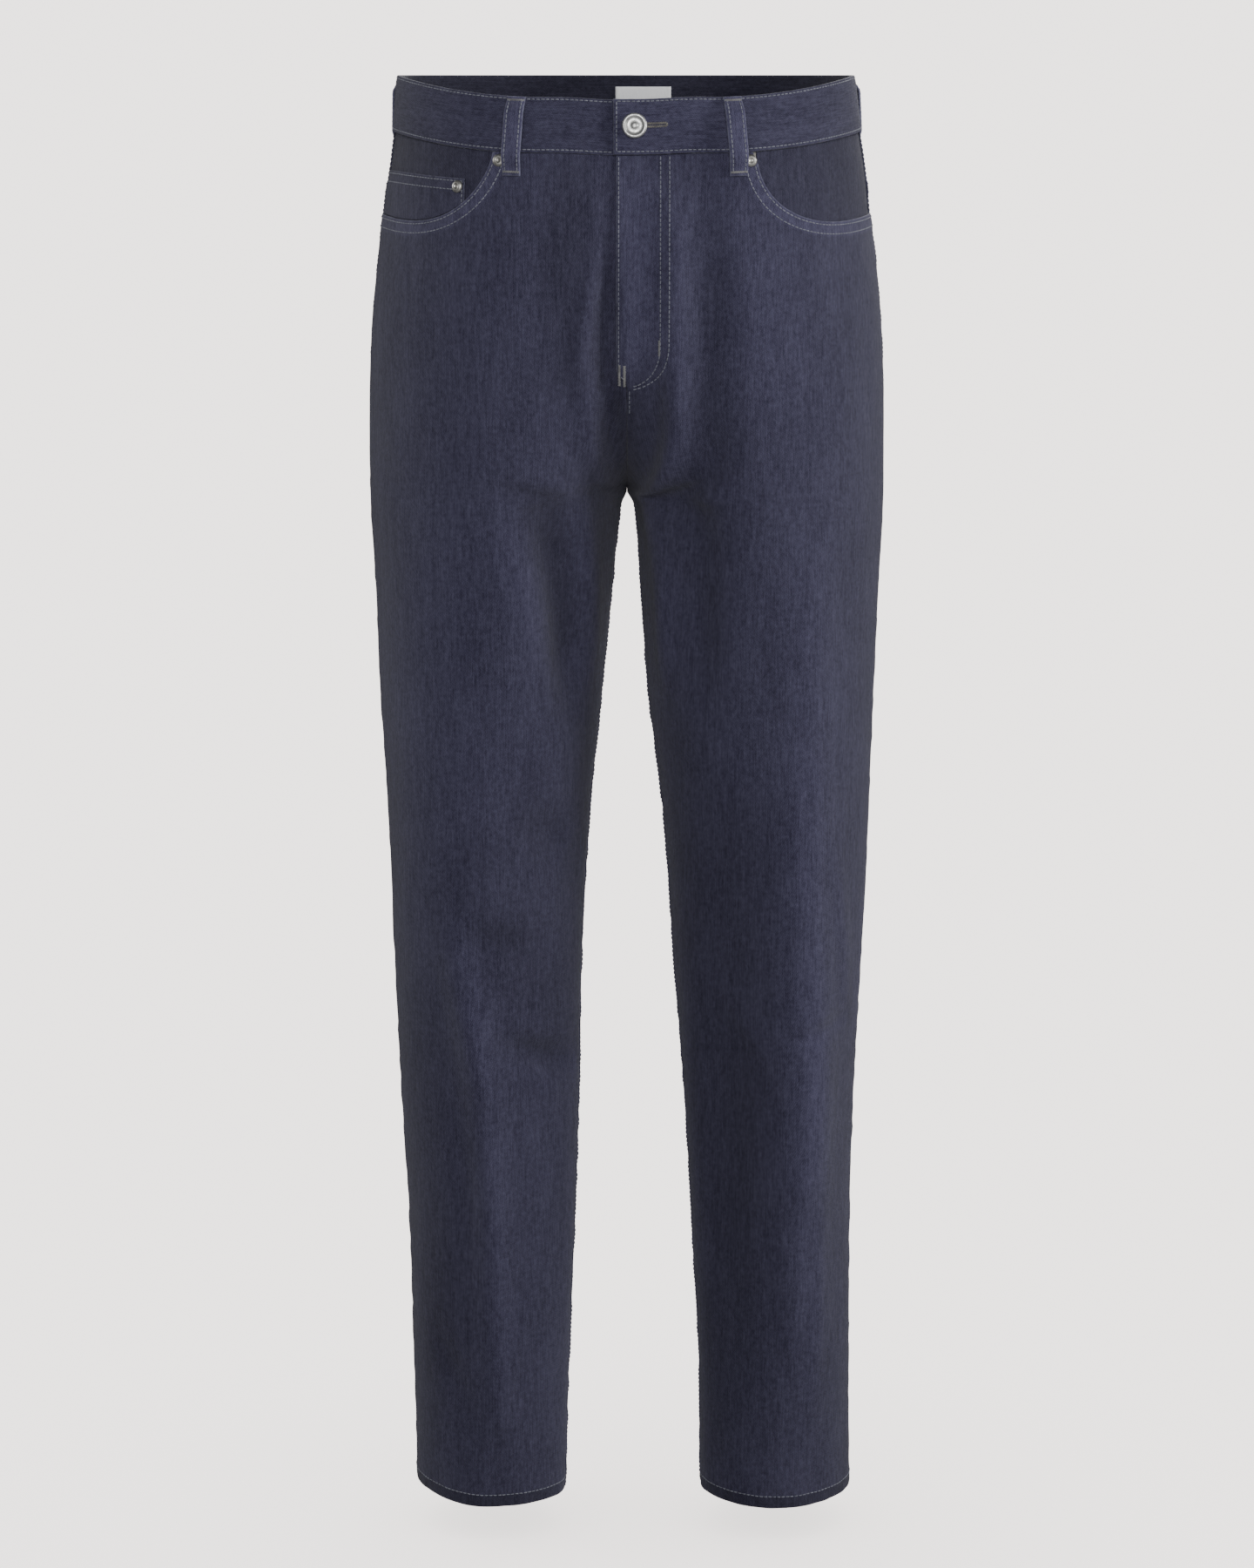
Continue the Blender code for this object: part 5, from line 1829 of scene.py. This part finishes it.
@dataclass
class Back:
    """One back with its yoke, patch pocket and sewing."""

    tailor: Tailor
    side: Side
    cut: Cut = Cut(0.30, 0.97, 0.19)
    yoke_cut: Cut = Cut(0.21, 0.078, 0.0135)
    pocket_cut: Cut = Cut(0.150, 0.154, 0.0205)
    even_columns: int = 58
    fell: float = 0.0095  # width of a felled seam
    fell_rise: float = 0.00055
    fell_rows: Span = (0.0020, 0.0078)
    pocket_rows: Span = (0.0018, 0.0078)
    pocket_mouth: float = 0.0140
    gape: float = 0.0014

    def __post_init__(self) -> None:
        """Names its half of the leg, and spreads its columns, which are close together at the seams."""
        self.half = (self.side, B)
        near, even = np.array(SEAM_COLUMNS), np.linspace(0, 1, self.even_columns + 2)[1:-1]
        self.shares = np.concatenate([0 * near, even, 1 + 0 * near])
        self.offsets = np.concatenate([near, near[-1] * (1 - 2 * even), -near[::-1]])

    def width(self, level: Values) -> Array:
        """Width of the back at some levels."""
        return self.tailor.form.width(self.half, level)

    def distance(self, level: Values) -> Array:
        """Distances of the columns from the inner seam."""
        return self.offsets + self.shares * self.width(level)

    def yoke_level(self, share: Values) -> Array:
        """Level of the seam between yoke and back panel."""
        return WAIST_SEAM - YOKE_CENTRE - share * (YOKE_SIDE - YOKE_CENTRE)

    @cached_property
    def yoke_seam(self) -> Array:
        """Level of that seam on each column."""
        level = WAIST_SEAM - YOKE_CENTRE
        return self.yoke_level(self.distance(level) / self.width(level))

    def lap(self, away: Values) -> Array:
        """Rise of the cloth where a felled seam laps over it, by the distance from the seam."""
        return self.fell_rise * smoothstep(self.fell + 0.0008, self.fell - 0.0008, away)

    def felled(self, distance: Values, level: Array) -> Array:
        """Rise of the felled seams: the centre seam on the left, and the inseam on both legs."""
        leg = smoothstep(CROTCH + 0.004, CROTCH - 0.010, level)
        return self.lap(distance) * np.maximum(leg, (1 - leg) * (self.side is L))

    def panel(self) -> None:
        """The back itself, from the yoke's seam to the hem."""
        top = self.yoke_seam
        rows = np.concatenate([[0, 0.0018, 0.005, 0.01], np.linspace(0, 1, 46)[1:]])[:, None]
        level = np.concatenate([top + rows * (CROTCH - top), leg_rows()[:, None] + 0 * top])
        distance, width = self.distance(level), self.width(level)
        felled = self.felled(distance, level)
        fall = np.maximum(edge_fall(level - HEM), seam_fall(top - level, distance, width - distance))
        near = np.maximum(wear(level - HEM), 0.55 * wear(width - distance))
        fell_wear = 0.7 * wear(np.abs(distance - self.fell)) * smoothstep(0.0, 0.0003, felled)
        self.tailor.lay(
            f"back_{self.side.word}",
            self.half,
            (distance, level),
            (felled - fall, -WALL + 0.6 * fall),
            1.2 + 0.3 * self.side.value,
            self.cut,
            np.maximum(near, fell_wear),
            self.tailor.form.relief.fade(self.half, distance / width, level),
            hangs_from=f"yoke_{self.side.word}_cloth",
            stretches=STRETCHES,
            lined=True,
        )

    def yoke(self) -> None:
        """The shaped piece between the waistband and the back."""
        upper, lower = np.linspace(0.02, 0.80, 22), np.linspace(0.82, 0.985, 14)
        rows = np.concatenate([[0, 0.008], upper, lower, [0.992, 0.997, 1.0]])
        level = WAIST_SEAM + rows[:, None] * (self.yoke_seam - WAIST_SEAM)
        distance, width = self.distance(level), self.width(level)
        below = level - self.yoke_seam
        at_seams = seam_fall(WAIST_SEAM - level, distance, width - distance)
        fall = np.maximum(edge_fall(below, depth=0.0007), at_seams)
        skins = (np.maximum(self.lap(below), self.felled(distance, level)) - fall, -WALL + 0.6 * fall)
        node, near = f"yoke_{self.side.word}", 0.8 * wear(below)
        self.tailor.lay(node, self.half, (distance, level), skins, 2.2, self.yoke_cut, near, lined=True)

    def pocket_place(self, across: Values, down: Values) -> tuple[Array, Array, Array]:
        """Places on the patch pocket, which swells a little and gapes at its mouth.

        Args:
            across: Share of the way from its inner side to its outer one.
            down: Share of the way from its mouth to its bottom.

        Returns:
            Distances, levels and how far out the pocket's face lies.
        """
        across, down = together(across, down)
        share = (POCKET_INNER + across * POCKET_WIDTH) / self.width(-0.12)
        height = POCKET_HEIGHT + POCKET_POINT * (1 - np.abs(2 * across - 1))
        level = self.yoke_level(share) - POCKET_BELOW_YOKE - down * height
        narrow = POCKET_TAPER * np.clip(down, 0, 1)
        distance = POCKET_INNER + narrow + across * (POCKET_WIDTH - 2 * narrow)
        inside = smoothstep(0.0, 0.5, np.clip(2 * nearest(across, 1 - across), 0, 1))
        swell = self.gape * np.exp(-((down / 0.16) ** 2)) + 0.0009 * np.sin(math.pi * np.clip(down, 0, 1))
        return distance, level, GAP + WALL + swell * inside

    def pocket(self) -> None:
        """A plain patch pocket with a pointed bottom."""
        sides = np.array([0, 0.001, 0.003, 0.006, 0.012, 0.022, 0.036, 0.052])
        mouth = [0, 0.001, 0.003, 0.006, 0.012, 0.03]
        across = np.concatenate([sides, np.linspace(0.07, 0.93, 50), 1 - sides[::-1]])
        down = np.concatenate([mouth, np.linspace(0.05, 0.92, 44), 1 - sides[::-1]])[:, None]
        distance, level, face = self.pocket_place(across, down)
        away = np.minimum(nearest(across, 1 - across) * POCKET_WIDTH, nearest(down, 1 - down) * POCKET_HEIGHT)
        fall = rounding(away, 0.0009, 0.0008)
        skins = (face - fall, face - WALL + 0.3 * fall)
        node, carrier = f"back_pocket_{self.side.word}", f"back_{self.side.word}_cloth"
        spots = (distance, level)
        self.tailor.lay(node, self.half, spots, skins, 3.3, self.pocket_cut, wear(away), hangs_from=carrier)

    def sew(self) -> None:
        """Sews the felled seams, the outseam, the hem and the pocket."""
        stitch = self.tailor.back_stitch
        inseam = np.linspace(CROTCH - 0.012, HEM + 0.001, 300)
        for row in self.fell_rows:
            stitch.row(self.half, row, inseam, self.felled(row, inseam))
            share = np.linspace(0.002, 0.998, 90)
            seam = self.yoke_level(share) + row
            stitch.row(self.half, share * self.width(seam), seam, self.lap(row))
        if self.side is L:
            centre = np.linspace(WAIST_SEAM - 0.002, CROTCH + 0.004, 160)
            for row in self.fell_rows:
                stitch.row(self.half, row, centre, self.felled(row, centre))
        outseam = np.linspace(WAIST_SEAM - 0.002, -0.200, 100)
        stitch.row(self.half, self.width(outseam) - 0.0020, outseam)
        hem = HEM + HEM_ROW
        stitch.row(self.half, np.linspace(HEM_ROW_START, self.width(hem) - HEM_ROW_START, 60), hem)
        self.sew_pocket()

    def sew_pocket(self) -> None:
        """Sews the patch pocket on, and its mouth, and bars its corners."""
        stitch = self.tailor.back_stitch
        for row in self.pocket_rows:
            aside, end = row / POCKET_WIDTH, 1 - row / POCKET_HEIGHT
            ends = np.full(30, aside)
            across = np.concatenate([ends, np.linspace(aside, 1 - aside, 60), 1 - ends])
            down = np.concatenate([np.linspace(0.01, end, 30), np.full(60, end), np.linspace(end, 0.01, 30)])
            stitch.row(self.half, *self.pocket_place(across, down))
        mouth = self.pocket_place(np.linspace(0.012, 0.988, 60), self.pocket_mouth / POCKET_HEIGHT)
        stitch.row(self.half, *mouth)
        for ends in ((0.008, 0.055), (0.945, 0.992)):
            self.tailor.tacks.bar(self.half, *self.pocket_place(np.linspace(*ends, 12), 0.016), 0.0022)


@dataclass
class Hem:
    """The plies turned in at the bottom of one leg, as a ring inside it."""

    tailor: Tailor
    side: Side
    rows: tuple[float, ...] = (0, 0.0003, 0.0007, 0.0014, 0.003, 0.005, 0.007, 0.009, 0.011, 0.0125, HEM_DEPTH)

    def build(self) -> None:
        """The ring."""
        form, word, back = self.tailor.form, self.side.word, (self.side, B)
        level = HEM + np.array(self.rows[::-1])[:, None]
        halves = {
            (self.side, F): np.linspace(0, 1, 50) * form.width((self.side, F), level),
            back: np.linspace(1, 0, 50)[1:-1] * form.width(back, level),
        }
        fall = rounding(level - HEM, 0.0012, 0.0006)
        skins = [
            np.concatenate([form.spots(half, distance, level, out)[0] for half, distance in halves.items()], 1)
            for out in (-PLY - 0.3 * fall, -PLY - WALL + fall)
        ]
        across = np.concatenate([halves[self.side, F], 0.5 - halves[back]], 1)
        denim = [self.tailor.finishes.cloth["denim"]]
        piece = shell(f"hem_{word}_cloth", *skins, (across, level), denim, closed=True)
        self.tailor.hang(piece, "denim", [f"hem_{word}"], Cut(0.335, HEM_DEPTH), f"front_{word}_cloth")


@dataclass
class Waistband:
    """The waistband, its label and its button."""

    tailor: Tailor
    cut: Cut = Cut(0.962, 0.040)
    edge_row: float = 0.0022
    # painted light on the front of the lapping end
    lap_fade: float = 0.18
    # painted shade over the whole inner face
    inside_fade: float = -0.5
    plump: float = 0.00035
    label_span: Span = (-0.0085, 0.0325)
    label_levels: Span = (0.0115, -0.017)
    label_ply: float = 0.0007
    button_profile: tuple[Span, ...] = (
        (0.0, 0.00345), (0.10, 0.00345), (0.18, 0.0033), (0.24, 0.0029), (0.30, 0.0026), (0.50, 0.00245),
        (0.62, 0.0026), (0.69, 0.0030), (0.76, 0.0034), (0.84, 0.0036), (0.92, 0.0034), (0.98, 0.0028),
        (1.0, 0.0021), (0.985, 0.0014), (0.93, 0.0007), (0.86, 0.0001), (0.0, 0.0001),
    )  # a rolled rim, a sunken ring and a low boss

    def ride(self, half: Half, distance: Array, on_top: bool) -> Array:
        """Rise of the band's lapping end, or fall of the end that lies under it.

        Args:
            half: Half of a leg.
            distance: Distance from the centre line, on either side.
            on_top: Whether the place is on the lapping end.

        Returns:
            Heights in metres.
        """
        if half[1] is B:
            return 0 * distance
        if on_top:
            return BAND_LIFT * (1 - smoothstep(BAND_UNDER + 0.001, BAND_UNDER + 0.020, distance))
        return BAND_SINK * (1 - smoothstep(BAND_END + 0.0015, BAND_END + 0.018, distance))

    def surface(self, half: Half, distance: Array, level: Values, on_top: bool) -> Array:
        """How far out the band's outer face lies, with its plump middle and the dents of its rows of stitches.

        Args:
            half: Half of a leg.
            distance: Distance from the centre line, on either side.
            level: Level of each place.
            on_top: Whether the place is on the lapping end.

        Returns:
            Heights in metres.
        """
        between = nearest(WAIST_TOP - level, level - WAIST_SEAM)
        dent = 0.8 * np.exp(-(((between - self.edge_row) / 0.0009) ** 2))
        plump = self.plump * (smoothstep(self.edge_row, 0.006, between) - dent)
        return BAND_OUT + self.ride(half, distance, on_top) + plump

    def stretches(self) -> list[tuple[Half, bool, bool, Array]]:
        """The stretches of the band, in order.

        Returns:
            For each: half, whether it is on top, whether its stations are shares, and its stations.
        """
        end = BAND_END - np.array([0.0, 0.0002, 0.0005, 0.001, 0.002, 0.0035, 0.0055, 0.0078])
        near, next_to = np.linspace(0, 0.2, 24)[:-1], np.linspace(0.2, 0.3, 16)[:-1]
        under = np.concatenate([np.linspace(1, 0.2, 70)[1:], np.linspace(0.2, 0.0, 26)[1:]])
        return [
            ((R, F), True, False, end),
            ((L, F), True, True, np.concatenate([near, next_to, np.linspace(0.3, 1, 60)])),
            ((L, B), True, True, np.linspace(1, 0, 84)[1:]),
            ((R, B), True, True, np.linspace(0, 1, 84)[1:]),
            ((R, F), False, True, under),
            ((L, F), False, False, np.linspace(0, BAND_UNDER, 20)[1:]),
        ]

    def band(self) -> None:
        """One strip all round: the wearer's left end laps over the centre, the other lies under it."""
        form, depth = self.tailor.form, WAIST_TOP - WAIST_SEAM
        rows = np.array([0.0, 0.0002, 0.0005, 0.0010, 0.0016, 0.0022, 0.0029, 0.004])
        rows = np.concatenate([rows, np.linspace(0.004, 0.036, 13)[1:-1], depth - rows[::-1]])
        level = (WAIST_TOP - rows * (depth - GAP / 2) / depth)[:, None]
        from_top, from_seam = WAIST_TOP - level, level - WAIST_SEAM
        parts, travelled = [], 0.0
        for half, on_top, shared, stations in self.stretches():
            distance = stations * form.width(half, level) if shared else stations + 0 * level
            fall = np.maximum(rounding(from_top, 0.0016, 0.00135), rounding(from_seam, 0.0010, 0.0008))
            fall = fall + 0 * distance
            near = np.maximum(wear(from_top), 0.8 * wear(from_seam)) + 0 * distance
            if half == (R, F) and on_top:
                fall = np.maximum(fall, rounding(BAND_END - distance, 0.0013, 0.0012))
                near = np.maximum(near, wear(BAND_END - distance))
            outer, _ = form.spots(half, distance, level, self.surface(half, distance, level, on_top) - fall)
            lining = BAND_IN + self.ride(half, distance, on_top) + 0.7 * fall
            inner, _ = form.spots(half, distance, level, lining)
            across = travelled + lengths(distance[:1].T)
            travelled = across[-1] + 0.003
            # Painted light on the front of the lapping end.
            fade = self.lap_fade * (on_top and half[1] is F) * smoothstep(0.085, 0.030, distance)
            parts.append((outer, inner, across + 0 * distance, near, fade))
        outer, inner, across, near, fade = (np.concatenate(columns, 1) for columns in zip(*parts))
        # A waistband is cut along the cloth, so the weave runs round it. Its inner face is darkened all over
        # with painted shade.
        place, fade = (level + 4.1, across), np.stack([fade, np.full_like(fade, self.inside_fade)])
        piece = shell("waistband_cloth", outer, inner, place, [self.tailor.finishes.cloth["denim"]], near, fade)
        self.tailor.hang(piece, "denim", ["waistband"], self.cut, None)

    def sew(self) -> None:
        """Sews along both edges and the lapping end, and works the buttonhole's end beside the button."""
        starts = {(L, F): -BAND_END + self.edge_row, (L, B): 0.0, (R, B): 0.0, (R, F): BAND_END + 0.0006}
        stitch = self.tailor.topstitch
        for level in (WAIST_TOP - self.edge_row, WAIST_SEAM + self.edge_row):
            for half, start in starts.items():
                distance = np.linspace(start, self.tailor.form.width(half, level), 160)
                stitch.row(half, distance, level, self.surface(half, np.abs(distance), level, half != (R, F)))
        level = np.linspace(WAIST_TOP - self.edge_row, WAIST_SEAM + self.edge_row, 40)
        stitch.row((L, F), starts[L, F], level, self.surface((L, F), -starts[L, F] + 0 * level, level, True))
        inner, outer, half_width = 0.0125, 0.0268, 0.0011
        turn = np.linspace(math.pi / 2, -math.pi / 2, 12)
        there, back = np.linspace(inner, outer, 20), np.linspace(outer, inner, 20)
        x = np.concatenate([there, outer + half_width * np.cos(turn), back])
        rise = np.concatenate([0 * there + half_width, half_width * np.sin(turn), 0 * back - half_width])
        level = BUTTON_LEVEL + 0.0004 + rise
        self.tailor.hole.bar((L, F), x, level, self.surface((L, F), x, level, True), 0.0017)

    def label(self) -> None:
        """A blank woven label on the inside of the back."""
        (start, end), (top, bottom) = self.label_span, self.label_levels
        distance, level = np.linspace(start, end, 30), np.linspace(top, bottom, 22)[:, None]
        base = BAND_IN - GAP - 0.0005 * np.sin(math.pi * (level - bottom) / (top - bottom))
        fall = rounding(nearest(distance - start, end - distance), 0.0006, 0.0003)
        spots, skins, place = (distance, level), (base, base - self.label_ply + fall), (distance + 5, level)
        cut = Cut(end - start, top - bottom)
        self.tailor.lay("waist_label", (L, B), spots, skins, place, cut, slot="label")

    def button(self) -> None:
        """The tack button."""
        spot = (BUTTON_X, BUTTON_LEVEL, BAND_OUT + BAND_LIFT + GAP)
        profile, radius = self.button_profile, BUTTON_RADIUS
        self.tailor.fasten("tack_button", "waist_button", (L, F), spot, profile, radius, 72, "nickel")


@dataclass
class BeltLoop:
    """A folded strip that stands off the band to let a belt through."""

    tailor: Tailor
    place: str
    half: Half
    distance: float
    splay: float = 0.0
    rise: float = LOOP_RISE
    bulge: float = 0.0004
    row: float = 0.0021
    fade: float = 0.5

    def spots(self, across: Values, t: Values) -> tuple[Array, Array, Array, Array]:
        """Places on the strip.

        Args:
            across: Distance from the strip's middle.
            t: Share of the way down.

        Returns:
            Distances, levels, and how far out the strip's inner and outer face lie.
        """
        level = WAIST_TOP - 0.0005 + t * (WAIST_SEAM - LOOP_BELOW_SEAM - WAIST_TOP)
        rise = self.rise * smoothstep(0.0, 0.24, t) * smoothstep(1.0, 0.72, t)
        base = BAND_OUT + GAP * 1.5 - BAND_OUT * smoothstep(0.82, 0.94, t) + rise
        aside = LOOP_WIDTH / 2 - np.abs(across)
        channel = 0.0002 * np.exp(-(((aside - self.row) / 0.0008) ** 2))
        ply = LOOP_PLY - rounding(aside, 0.0012, 0.0011) + self.bulge * smoothstep(0.0, 0.003, aside) - channel
        return self.distance + self.splay * t + across, level, base, base + ply

    def build(self) -> None:
        """The strip."""
        half, length = LOOP_WIDTH / 2, WAIST_TOP - WAIST_SEAM + LOOP_BELOW_SEAM
        steps = np.array([0.0, 0.0002, 0.0005, 0.001, 0.0016, 0.0022, 0.003, 0.0042])
        across = np.concatenate([-half + steps, [0.0], half - steps[::-1]])
        middle = np.linspace(0.035, 0.965, 56)
        t = np.concatenate([[0, 0.004, 0.01, 0.02], middle, [0.98, 0.99, 0.996, 1.0]])[:, None]
        distance, level, base, top = self.spots(across, t)
        aside, end = half - np.abs(across), nearest(t, 1 - t) * length
        end_fall = rounding(end, 0.0012, 0.0010)
        skins = (top - end_fall, base + 0.25 * rounding(aside, 0.0012, 0.0010) + 0.2 * end_fall)
        place, cut, near = (across + 6.0, level), Cut(LOOP_WIDTH, length + 0.004), wear(nearest(aside, end))
        node = f"belt_loop_{self.place}"
        self.tailor.lay(node, self.half, (distance, level), skins, place, cut, near, self.fade)

    def sew(self) -> None:
        """Sews both sides of the strip and bars its ends."""
        half = LOOP_WIDTH / 2
        for across in (-half + self.row, half - self.row):
            distance, level, _, top = self.spots(across, np.linspace(0.03, 0.95, 60))
            self.tailor.topstitch.row(self.half, distance, level, top)
        for t in (0.055, 0.955):
            distance, level, _, top = self.spots(np.linspace(-half + 0.0005, half - 0.0005, 20), t)
            self.tailor.tacks.bar(self.half, distance, level, top, 0.0019)


@dataclass
class Rivets:
    """The rivets at the ends of the front pockets' edges."""

    tailor: Tailor
    profile: tuple[Span, ...] = (
        (0.0, 0.0011), (0.22, 0.0011), (0.30, 0.0013), (0.38, 0.0017), (0.50, 0.0019), (0.66, 0.0018),
        (0.82, 0.0014), (0.93, 0.0009), (1.0, 0.0004), (1.0, 0.0), (0.0, 0.0),
    )

    def rivet(self, place: str, side: Side, distance: float, level: float) -> None:
        """One rivet."""
        node, spot = f"rivet_{place}", (distance, level, 0.0002)
        name, radius = f"{node}_cap", RIVET_RADIUS
        self.tailor.fasten(name, node, (side, F), spot, self.profile, radius, 48, "antique_nickel")

    def build(self) -> None:
        """All three."""
        form = self.tailor.form
        for side in Side:
            at = form.distance_at_x((side, F), SCOOP_START[side] - 0.0015, WAIST_SEAM - 0.0056)
            self.rivet(f"scoop_{side.word}", side, at - 0.003, WAIST_SEAM - 0.0062)
        level = WAIST_SEAM - COIN_TOP_INNER - 0.0062
        self.rivet("coin", R, form.distance_at_x((R, F), COIN_INNER_X, level) + 0.0055, level)


# ---------- studio ----------


@dataclass
class Studio:
    """A plain pale floor, soft light and the camera."""

    floor_level: float = -1.062
    floor_rings: tuple[float, ...] = (0.0, 0.4, 0.8, 1.2, 1.8, 2.6, 4.0, 7.0, 14.0, 40.0)
    camera_place: tuple[float, float, float] = (0.0, -3.1, 0.020)
    camera_pitch: float = 90 - 9.4377
    lens: float = 98.0
    backdrop: Colour = (1.0, 0.945, 0.915, 1)
    backdrop_strength: float = 3.0
    ambient: Colour = (0.96, 0.98, 1.0, 1)
    ambient_strength: float = 0.14
    lamp_aim: tuple[float, float, float] = (0.0, 0.0, -0.45)
    bounce: float = 0.30
    contact_shade: float = 0.42

    def show(self, tree: Tree, lit: Node, seen: Node) -> None:
        """Shows the camera one shader and the garment's light another.

        Args:
            tree: The material's or world's nodes.
            lit: What lights the garment.
            seen: What the camera sees.
        """
        graph = Graph(tree)
        by_camera = graph.add("ShaderNodeLightPath").outputs["Is Camera Ray"]
        mix = graph.add("ShaderNodeMixShader", {0: by_camera, 1: lit.outputs[0], 2: seen.outputs[0]})
        output = next(node for node in tree.nodes if node.name.endswith("Output"))
        graph.give(output, {"Surface": mix.outputs[0]})

    def floor(self) -> None:
        """A wide disc whose colour goes over into the room's light far from the garment."""
        material, graph, shader = new_material("pale_floor", 0.9, Specular_IOR_Level=0.0)
        graph.give(shader, {"Base Color": (self.bounce,) * 3 + (1,)})
        shade = graph.add("ShaderNodeAmbientOcclusion", {"Distance": 0.45}, samples=2).outputs["AO"]
        full = self.backdrop_strength
        strength = graph.span(shade, 0, 1, full * (1 - self.contact_shade), full)
        emission = graph.add("ShaderNodeEmission", {"Color": self.backdrop, "Strength": strength})
        self.show(graph.tree, shader, emission)
        rings = [(radius, self.floor_level) for radius in self.floor_rings]
        new_object("floor", *lathe(rings, 96), material)

    def world(self) -> None:
        """An even pale room."""
        world = bpy.data.worlds.new("room")
        world.use_nodes = True
        graph = Graph(world.node_tree)
        lit = world.node_tree.nodes["Background"]
        graph.give(lit, {"Color": self.ambient, "Strength": self.ambient_strength})
        inputs = {"Color": self.backdrop, "Strength": self.backdrop_strength}
        self.show(graph.tree, lit, graph.add("ShaderNodeBackground", inputs))
        bpy.context.scene.world = world

    def lights(self) -> None:
        """One lamp at each side, the stronger at the wearer's left, one over the camera and one behind."""
        for name, turn, distance, height, size, power in (
            ("key", 74, 3.0, 0.6, 1.2, 62),
            ("side", -100, 3.0, 0.6, 1.2, 27),
            ("front", 0, 3.3, 0.6, 1.6, 66),
            ("behind", 168, 3.0, 0.9, 1.6, 60),
        ):
            turn = math.radians(turn)
            data = bpy.data.lights.new(name, "AREA")
            data.shape = "DISK"
            data.size = size
            data.energy = power
            lamp = bpy.data.objects.new(name, data)
            place = Vector((distance * math.sin(turn), -distance * math.cos(turn), height))
            lamp.location = place
            lamp.rotation_euler = (Vector(self.lamp_aim) - place).to_track_quat("-Z", "Y").to_euler()
            lamp.visible_camera = False
            bpy.context.scene.collection.objects.link(lamp)

    def camera(self) -> None:
        """The camera, at the height and angle of the picture."""
        data = bpy.data.cameras.new("camera")
        data.lens = self.lens
        data.clip_end = 200
        camera = bpy.data.objects.new("camera", data)
        camera.location = self.camera_place
        camera.rotation_euler = (math.radians(self.camera_pitch), 0, 0)
        bpy.context.scene.collection.objects.link(camera)
        bpy.context.scene.camera = camera

    def build(self) -> None:
        """Everything round the garment."""
        self.world()
        self.floor()
        self.lights()
        self.camera()


def main() -> None:
    """Builds the garment, sub-assembly by sub-assembly, and the studio round it."""
    logging.basicConfig(level=logging.INFO, format="%(name)s: %(message)s")
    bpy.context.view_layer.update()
    tailor = Tailor()
    band = Waistband(tailor)
    band.band()
    fronts = {side: Front(tailor, side) for side in Side}
    for side, front in fronts.items():
        front.panel()
        front.facing()
        front.bag()
        front.sew()
        back = Back(tailor, side)
        back.yoke()
        back.panel()
        back.pocket()
        back.sew()
        Hem(tailor, side).build()
    fly = Fly(fronts[L])
    fly.strips()
    fly.sew()
    coin = CoinPocket(fronts[R])
    coin.build()
    coin.sew()
    band.sew()
    band.label()
    band.button()
    at_side = {side: tailor.form.width((side, B), WAIST_SEAM) - SIDE_LOOP_BACK for side in Side}
    for place, half, distance, splay in (
        ("front_right", (R, F), 0.0760, 0.004),
        ("front_left", (L, F), 0.0725, 0.005),
        ("side_right", (R, B), at_side[R], 0.0),
        ("side_left", (L, B), at_side[L], 0.0),
        ("back", (L, B), 0.0, 0.0),
    ):
        loop = BeltLoop(tailor, place, half, distance, splay)
        loop.build()
        loop.sew()
    Rivets(tailor).build()
    finishes = tailor.finishes
    for name, sewing, thread in (
        ("front_topstitching", tailor.topstitch, finishes.thread),
        ("back_topstitching", tailor.back_stitch, finishes.thread),
        ("bartacks", tailor.tacks, finishes.tack_thread),
        ("buttonhole", tailor.hole, finishes.hole_thread),
    ):
        tailor.settle(sewing.build(name, thread), "thread")
    Studio().build()
    log.info("%d pieces", len(tailor.made))


if __name__ == "__main__":
    main()
